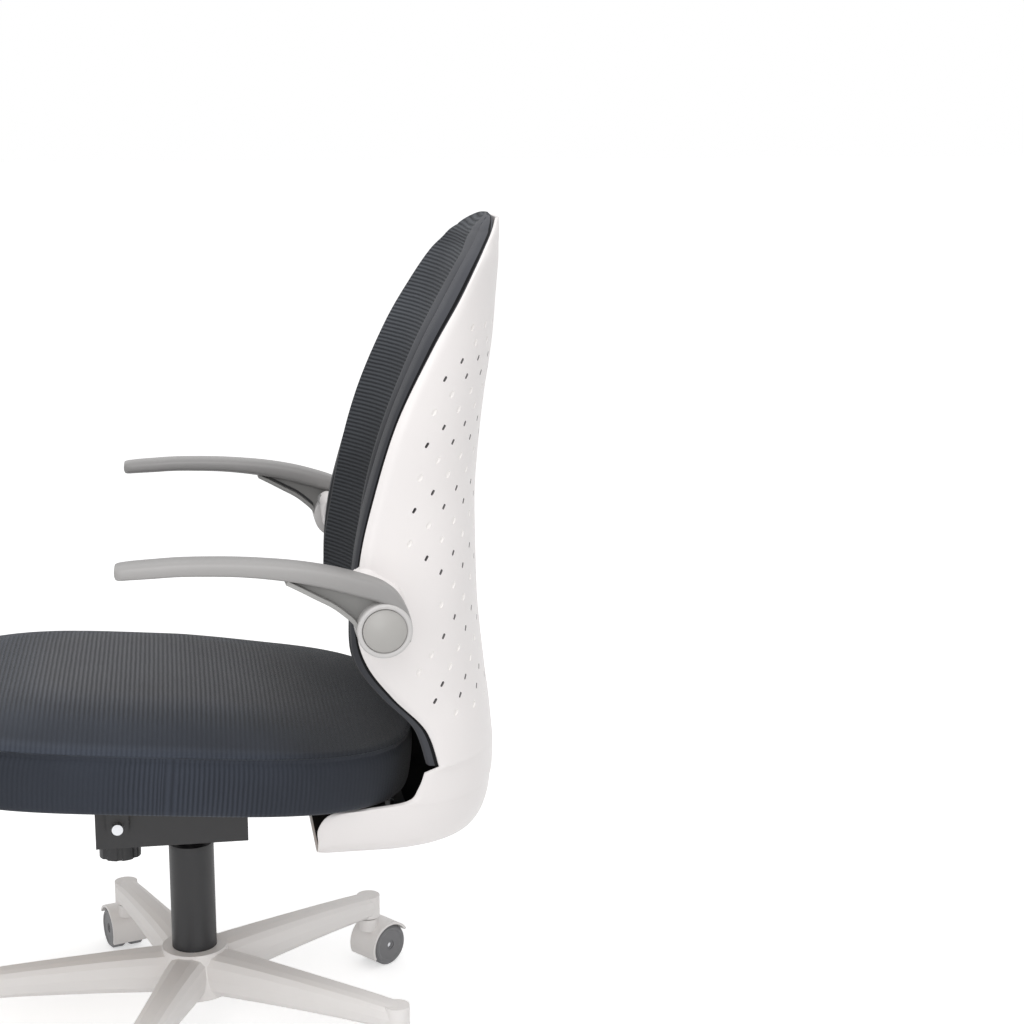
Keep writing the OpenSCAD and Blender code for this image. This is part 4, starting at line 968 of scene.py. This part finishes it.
# side rows as shares of the plan and of the side's height, bottom up, then top rows from the edge in
SIDE_SHARES = [(0.95, 0.0), (0.972, 0.0), (0.985, 0.015), (0.993, 0.05), (0.998, 0.12), (1.0, 0.22),
               (1.002, 0.35), (1.003, 0.5), (1.003, 0.62), (1.001, 0.72), (0.998, 0.79), (0.994, 0.835),
               (0.9895, 0.865), (0.9875, 0.882), (0.9885, 0.9), (0.9915, 0.93), (0.9925, 0.96)]
TOP_SHARES = [0.9935, 0.99, 0.984, 0.975, 0.962, 0.945, 0.92, 0.89, 0.85, 0.8, 0.74, 0.67, 0.59, 0.5, 0.4,
              0.3, 0.2, 0.1, 0.02]
SEAM_AT, SEAM_REACH, SEAM_PULL, SEAM_WAVE, WAVE_LAG = 0.88, 0.06, 0.0011, 0.9, 0.4
PUCKERS = [(31, 0.0), (47, 1.3), (71, 2.1), (13, 0.7)]
SHOULDER, SHOULDER_RUN, CROWN_POW, BACK_POW = 0.97, 0.02, 3, 1.35
SEAT_COLS, FINE_COLS = 224, 2880


def seat_point(share, a, z):
    c, s = math.cos(a), math.sin(a)
    n = FRONT_POW if s < 0 else REAR_POW
    x = share * SEAT_W / 2 * math.copysign(abs(c) ** (2 / n), c)
    y = SEAT_MID + share * SEAT_L / 2 * math.copysign(abs(s) ** (2 / n), s)
    return x, y, z


def on_seat(p):
    """A point of the level cushion, tipped back and lifted to its place."""
    a = math.radians(-SEAT_SLOPE)
    x, y, z = p
    return (x, y * math.cos(a) - z * math.sin(a), UNDER_H + y * math.sin(a) + z * math.cos(a))


def pucker(a):
    """Uneven pull of the stitches round the seam, between -1 and 1."""
    return sum(math.sin(n * a + start) for n, start in PUCKERS) / len(PUCKERS)


def even_angles():
    """Angles of even steps along the edge of the plan, and the length of that edge."""
    dense = [seat_point(1.0, 2 * math.pi * j / FINE_COLS, 0) for j in range(FINE_COLS + 1)]
    arc = [0.0]
    for p, q in zip(dense, dense[1:]):
        arc.append(arc[-1] + math.hypot(q[0] - p[0], q[1] - p[1]))
    angles, j = [], 0
    for i in range(SEAT_COLS):
        s = arc[-1] * i / SEAT_COLS
        while arc[j + 1] < s:
            j += 1
        angles.append(2 * math.pi * (j + (s - arc[j]) / (arc[j + 1] - arc[j])) / FINE_COLS)
    return angles, arc[-1]


def side_ring(share, height, angles):
    """One row of the side. Near the seam it puckers a little along its length."""
    near = max(0.0, 1 - abs(height - SEAM_AT) / SEAM_REACH)
    wave = SEAM_WAVE if near > 0 else 0.0
    ring = []
    for a in angles:
        z = SEAT_SIDE * height + wave * pucker(a + WAVE_LAG)
        ring.append(on_seat(seat_point(share - SEAM_PULL * near * pucker(a), a, z)))
    return ring


def top_point(share, a):
    x, y, _ = seat_point(share, a, 0)
    back = max(0, (y - SEAT_MID) / (SEAT_L / 2))
    rise = SHOULDER + (1 - SHOULDER) * min(1, (TOP_SHARES[0] - share) / SHOULDER_RUN)
    return x, y, SEAT_SIDE * rise + SEAT_CROWN * (1 - share ** CROWN_POW) * (1 - back ** BACK_POW)


def cushion_rings():
    angles, total = even_angles()
    around = round(total / SEAT_PITCH) * SEAT_PITCH
    rings, uvs = [], []
    for share, height in SIDE_SHARES:
        rings.append(side_ring(share, height, angles))
        uvs.append([(height * SEAT_SIDE * MM, around * i / SEAT_COLS * MM) for i in range(SEAT_COLS)])
    for share in TOP_SHARES:
        level = [top_point(share, a) for a in angles]
        rings.append([on_seat(p) for p in level])
        uvs.append([(x * MM, y * MM) for x, y, _ in level])
    return rings, uvs, around


stack, uvs, around = cushion_rings()
cushion = loft("seat_cushion_cover", stack, uvs)
cushion.data.materials.append(SEAT_RIB)
cushion.data.materials.append(SIDE_RIB)
layer = cushion.data.uv_layers[0].data
for p in cushion.data.polygons:
    if max(p.vertices) // SEAT_COLS >= len(SIDE_SHARES):
        continue
    p.material_index = 1
    # the last faces round the side run on to the full length, not back to zero
    if len(p.vertices) == 4 and any(v % SEAT_COLS == SEAT_COLS - 1 for v in p.vertices):
        for k in p.loop_indices:
            if cushion.data.loops[k].vertex_index % SEAT_COLS == 0:
                layer[k].uv[1] = around * MM
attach(cushion, "seat")
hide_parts("seat_cushion")

# Armrests: curved rail, recessed web, thin lower flange and pivot housing.

# stations of the rail from its tip to the pivot, as shares of its length, height, thickness and width
RUN = [1, 0.985, 0.94, 0.87, 0.77, 0.66, 0.54, 0.43, 0.32, 0.2, 0.1, 0.01, -0.04, -0.071, -0.093, -0.107,
       -0.111, -0.103]
TOP = [0.94, 0.956, 0.972, 0.985, 1, 0.995, 0.975, 0.94, 0.89, 0.81, 0.72, 0.62, 0.52, 0.41, 0.265, 0.1,
       -0.044, -0.19]
GROW = [0.8, 0.92, 0.97, 1.0, 1.02, 1.05, 1.08, 1.15, 1.25, 1.35, 1.4, 1.35, 1.25, 1.1, 1, 0.9, 0.8, 0.6]
SIDE = [0.78, 0.92, 0.98, 1, 1, 1, 1, 1, 1, 1, 0.98, 0.95, 0.93, 0.92, 0.91, 0.9, 0.89, 0.87]
WEB_RUN = [0.372, 0.317, 0.26, 0.2, 0.155, 0.118, 0.1]
WEB_LOW = [0.72, 0.61, 0.49, 0.365, 0.235, 0.1, -0.05]
WEB_TOP = [(0, 0.35), (-0.16, 0.66), (-0.3, 0.8)]
RISE_END, RISE_RUN, DIR_FROM, DIR_STEP = 8.0, 7.0, 2, 0.7
RAIL_COLS, RAIL_STEPS, WEB_STEPS, ACROSS_POW, UP_POW = 44, 5, 6, 4.2, 3.2
TIP_SHARES, TIP_WIDTH, TIP_REACH = (0.5, 0.82), 0.9, 1.2
WEB_HALF, WEB_REACH, FLANGE_HALF, FLANGE_Y, FLANGE_Z, FLANGE_ROUND = 6.0, 14.0, 16.0, 2.4, 3.6, 1.1
SLIT_HALF, SLIT_X, SLIT_Y, SLIT_Z, SLIT_WIDE, SLIT_HIGH = 0.5, 6.2, 2.6, 3.9, 1.6, 3.4
SLIT_FROM, SLIT_TO, SLIT_LEAST, LATHE_COLS = 3, -6, 0.35, 72
HUB_INSET, CAP_SEAT, CAP_PLAY = 1.0, 8.0, 0.3
INNER_ROUND = [(0.0, 1.5), (0.4, 0.5), (1.5, 0.0)]
OUTER_ROUND = [(2.4, 0.0), (1.2, 0.35), (0.4, 1.1), (0.0, 2.4)]
RECESS_ROUND = [(0.2, 1.6), (0.9, 0.7), (2.4, 0.35)]


def rail_at(u):
    rise = RAIL_RISE * (1 - ease((u - RISE_END) / RISE_RUN))
    return Vector((-ARM_LEN * smooth(RUN, u), RAIL_TOP * smooth(TOP, u) + rise))


def rail_dir(u):
    """Direction of the rail, kept the same over its blunt tip."""
    u = max(u, DIR_FROM)
    return (rail_at(min(len(RUN) - 1, u + DIR_STEP)) - rail_at(u - DIR_STEP)).normalized()


def rail_rings():
    rings = []
    for i in range((len(RUN) - 1) * RAIL_STEPS + 1):
        u = i / RAIL_STEPS
        d, top = rail_dir(u), rail_at(u)
        t = RAIL_T * smooth(GROW, u)
        w = RAIL_W / 2 * smooth(SIDE, u)
        mid_y, mid_z = top.x + d.y * t / 2, top.y - d.x * t / 2
        ring = []
        for j in range(RAIL_COLS):
            a = -2 * math.pi * j / RAIL_COLS
            ca, sa = math.cos(a), math.sin(a)
            p = w * math.copysign(abs(ca) ** (2 / ACROSS_POW), ca)
            q = t / 2 * math.copysign(abs(sa) ** (2 / UP_POW), sa)
            ring.append((p, mid_y - d.y * q, mid_z + d.x * q))
        rings.append(ring)
    first = rings[0]
    cy = sum(p[1] for p in first) / RAIL_COLS
    cz = sum(p[2] for p in first) / RAIL_COLS
    caps = []
    for f in TIP_SHARES:
        wide, shift = TIP_WIDTH + (1 - TIP_WIDTH) * f, TIP_REACH * (1 - f * f)
        caps.append([(x * wide, cy + (y - cy) * f - shift, cz + (z - cz) * f) for x, y, z in first])
    return caps + rings


def web_low(u):
    return (-ARM_LEN * smooth(WEB_RUN, u), RAIL_TOP * smooth(WEB_LOW, u))


def slab(name, pts, half_w, at=0.0):
    """A closed outline in the side plane, given a width about x = at."""
    m = len(pts)
    verts = [(at - half_w, y, z) for y, z in pts] + [(at + half_w, y, z) for y, z in pts]
    faces = [tuple(range(m)), tuple(range(2 * m - 1, m - 1, -1))]
    faces += [(j, (j + 1) % m, m + (j + 1) % m, m + j) for j in range(m)]
    return new_object(name, verts, faces)


def lathe(name, prof):
    """A closed profile of (x, radius) turned about the arm pivot."""
    verts, faces = [], []
    m = len(prof)
    for i in range(LATHE_COLS):
        a = 2 * math.pi * i / LATHE_COLS
        verts += [(x, r * math.cos(a), r * math.sin(a)) for x, r in prof]
        k = (i + 1) % LATHE_COLS
        for j in range(m):
            q = (j + 1) % m
            faces.append((i * m + j, i * m + q, k * m + q, k * m + j))
    return new_object(name, verts, faces)


def hub_profile():
    """Pivot housing: rounded rim outside, recess for the cap, bore for the bolt."""
    x0, x1, r = HUB_INSET - RAIL_W / 2, RAIL_W / 2, HUB_R - HUB_INSET
    inner = [(x0, BOLT_R)] + [(x0 + a, r - b) for a, b in INNER_ROUND]
    outer = [(x1 - a, r - b) for a, b in OUTER_ROUND] + [(x1 - a, CAP_R + b) for a, b in RECESS_ROUND]
    return inner + outer + [(CAP_SEAT, CAP_R + CAP_PLAY), (CAP_SEAT, BOLT_R)]


def slit_shadow_outline(low):
    """Outline of a thin black strip on the web's inner face, a painted shadow for the narrow slit between web
    and flange, on the sitter's side.
    """
    part = low[SLIT_FROM:SLIT_TO]
    start = [(y + SLIT_Y, z + SLIT_Z) for y, z in part]
    end = []
    for k, (y, z) in enumerate(start):
        f = k / (len(part) - 1)
        end.append((y + SLIT_WIDE * (1 - f), z + SLIT_HIGH * (SLIT_LEAST + (1 - SLIT_LEAST) * f)))
    return start + end[::-1]


def armrest(side):
    name = "armrest_left" if side > 0 else "armrest_right"
    rail = loft(name + "_rail", rail_rings())
    low = [web_low(i / WEB_STEPS) for i in range((len(WEB_RUN) - 1) * WEB_STEPS + 1)]
    upper = [(0, 0), (WEB_REACH, 0)] + [(ARM_LEN * y, RAIL_TOP * z) for y, z in WEB_TOP]
    web = slab(name + "_web", low + upper, WEB_HALF)
    thick = [(y + FLANGE_Y, z + FLANGE_Z) for y, z in reversed(low)]
    flange = slab(name + "_flange", low + thick, FLANGE_HALF)
    bevelled(flange, FLANGE_ROUND)
    # painted shadow: a thin black strip on the web's inner face, where the slit lies in shade
    slit_shadow = slab(name + "_slit", slit_shadow_outline(low), SLIT_HALF, -SLIT_X)
    hub = lathe(name + "_hub", hub_profile())
    sharp_by_angle(hub, HARD_CREASE)
    for piece, mat in ((rail, GREY), (web, GREY_WEB_SHADED), (flange, GREY_FLANGE), (hub, GREY_RING_LIT), (slit_shadow, BLACK)):
        piece.data.materials.append(mat)
    ob = joined(name, [rail, web, flange, hub, slit_shadow])
    me = ob.data
    for v in me.vertices:
        v.co = ((v.co.x + ARM_X * MM) * side, v.co.y + HUB_Y * MM, v.co.z + HUB_Z * MM)
    if side < 0:
        me.flip_normals()
    sharp_by_angle(ob, ARM_CREASE)
    return ob


for side, tag in ((1, "left"), (-1, "right")):
    arm = armrest(side)
    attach(arm, "armrest_" + tag)
    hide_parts("arm_" + tag)

# Materials of the CAD nodes that stay. The nodes that come in numbers go by how their names start.

finishes = {
    "star_base": WHITE_LOW, "castor_hood": WHITE_LOW, "castor_pins": STEEL, "wheel_": TREAD,
    "outer_tube": PAINT, "guide_bush": BLACK, "piston_rod": STEEL, "thrust_bearing": STEEL, "gas_cylinder": LIFT,
    "release_button": STEEL, "height_lever": STEEL, "lever_paddle": BLACK, "tension_knob": BLACK,
    "mech_housing": PAINT, "tilt_shaft": STEEL, "torsion_bushes": RUBBER, "tilt_plate": PAINT,
    "plate_bolts": STEEL, "seat_board": PLY, "back_bracket": PAINT, "bracket_bolts": STEEL,
    "stop_pins": GREY_PIN, "pivot_bolt_left": STEEL, "pivot_bolt_right": STEEL,
    "arm_cap_left": GREY_CAP, "arm_cap_right": GREY_CAP}
for name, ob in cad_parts.items():
    for start, mat in finishes.items():
        if name.startswith(start):
            for s in ob.material_slots:
                s.material = mat

# Studio: pale floor, soft world and three broad lamps.

FLOOR_HALF = 30.0


def seen_rays(nt):
    """1 for camera, glossy and transmission rays."""
    path = nt.nodes.new("ShaderNodeLightPath")
    seen = math_node(nt, "MAXIMUM", path.outputs["Is Camera Ray"], path.outputs["Is Glossy Ray"])
    return math_node(nt, "MAXIMUM", seen, path.outputs["Is Transmission Ray"])


def mixed(nt, fac, a, b):
    n = nt.nodes.new("ShaderNodeMixShader")
    for sock, link in zip(n.inputs, (fac, a, b)):
        nt.links.new(link, sock)
    return n.outputs[0]


def glow_node(nt, kind, strength):
    n = nt.nodes.new(kind)
    n.inputs["Color"].default_value = (1, 1, 1, 1)
    n.inputs["Strength"].default_value = strength
    return n.outputs[0]


def floor_material():
    """Matt floor. It glows a little for the rays that see it, so that it runs into the white behind."""
    m, nt, bsdf = nodes_of("floor_white")
    bsdf.inputs["Base Color"].default_value = (0.86, 0.86, 0.86, 1.0)
    bsdf.inputs["Roughness"].default_value = 0.9
    both = nt.nodes.new("ShaderNodeAddShader")
    nt.links.new(bsdf.outputs[0], both.inputs[0])
    nt.links.new(glow_node(nt, "ShaderNodeEmission", 0.5), both.inputs[1])
    out = nt.nodes["Material Output"]
    nt.links.new(mixed(nt, seen_rays(nt), bsdf.outputs[0], both.outputs[0]), out.inputs["Surface"])
    return m


floor_me = bpy.data.meshes.new("floor")
corners = [(-FLOOR_HALF, -FLOOR_HALF, 0), (FLOOR_HALF, -FLOOR_HALF, 0), (FLOOR_HALF, FLOOR_HALF, 0),
           (-FLOOR_HALF, FLOOR_HALF, 0)]
floor_me.from_pydata(corners, [], [(0, 1, 2, 3)])
floor = placed("floor", floor_me)
floor_me.materials.append(floor_material())

world = bpy.data.worlds.new("studio")
bpy.context.scene.world = world
world.use_nodes = True
wt = world.node_tree
wt.nodes.clear()
world_out = wt.nodes.new("ShaderNodeOutputWorld")
soft = glow_node(wt, "ShaderNodeBackground", 0.62)
white = glow_node(wt, "ShaderNodeBackground", 1.0)
wt.links.new(mixed(wt, seen_rays(wt), soft, white), world_out.inputs["Surface"])


def lamp(name, pos, target, size, power):
    data = bpy.data.lights.new(name, "AREA")
    data.shape = "RECTANGLE"
    data.size, data.size_y = size
    data.energy = power
    ob = placed(name, data)
    ob.location = pos
    ob.rotation_euler = (Vector(target) - Vector(pos)).to_track_quat("-Z", "Y").to_euler()


lamp("key", (0.8, 0.1, 3.0), (0.0, 0.0, 0.5), (1.8, 1.8), 30)
lamp("side", (2.9, -0.5, 1.4), (0.0, 0.1, 0.65), (1.6, 1.6), 26)
lamp("rear", (-0.6, 2.4, 2.2), (0.0, 0.1, 0.6), (2.0, 1.4), 2.5)

bpy.context.scene.view_settings.view_transform = "Standard"
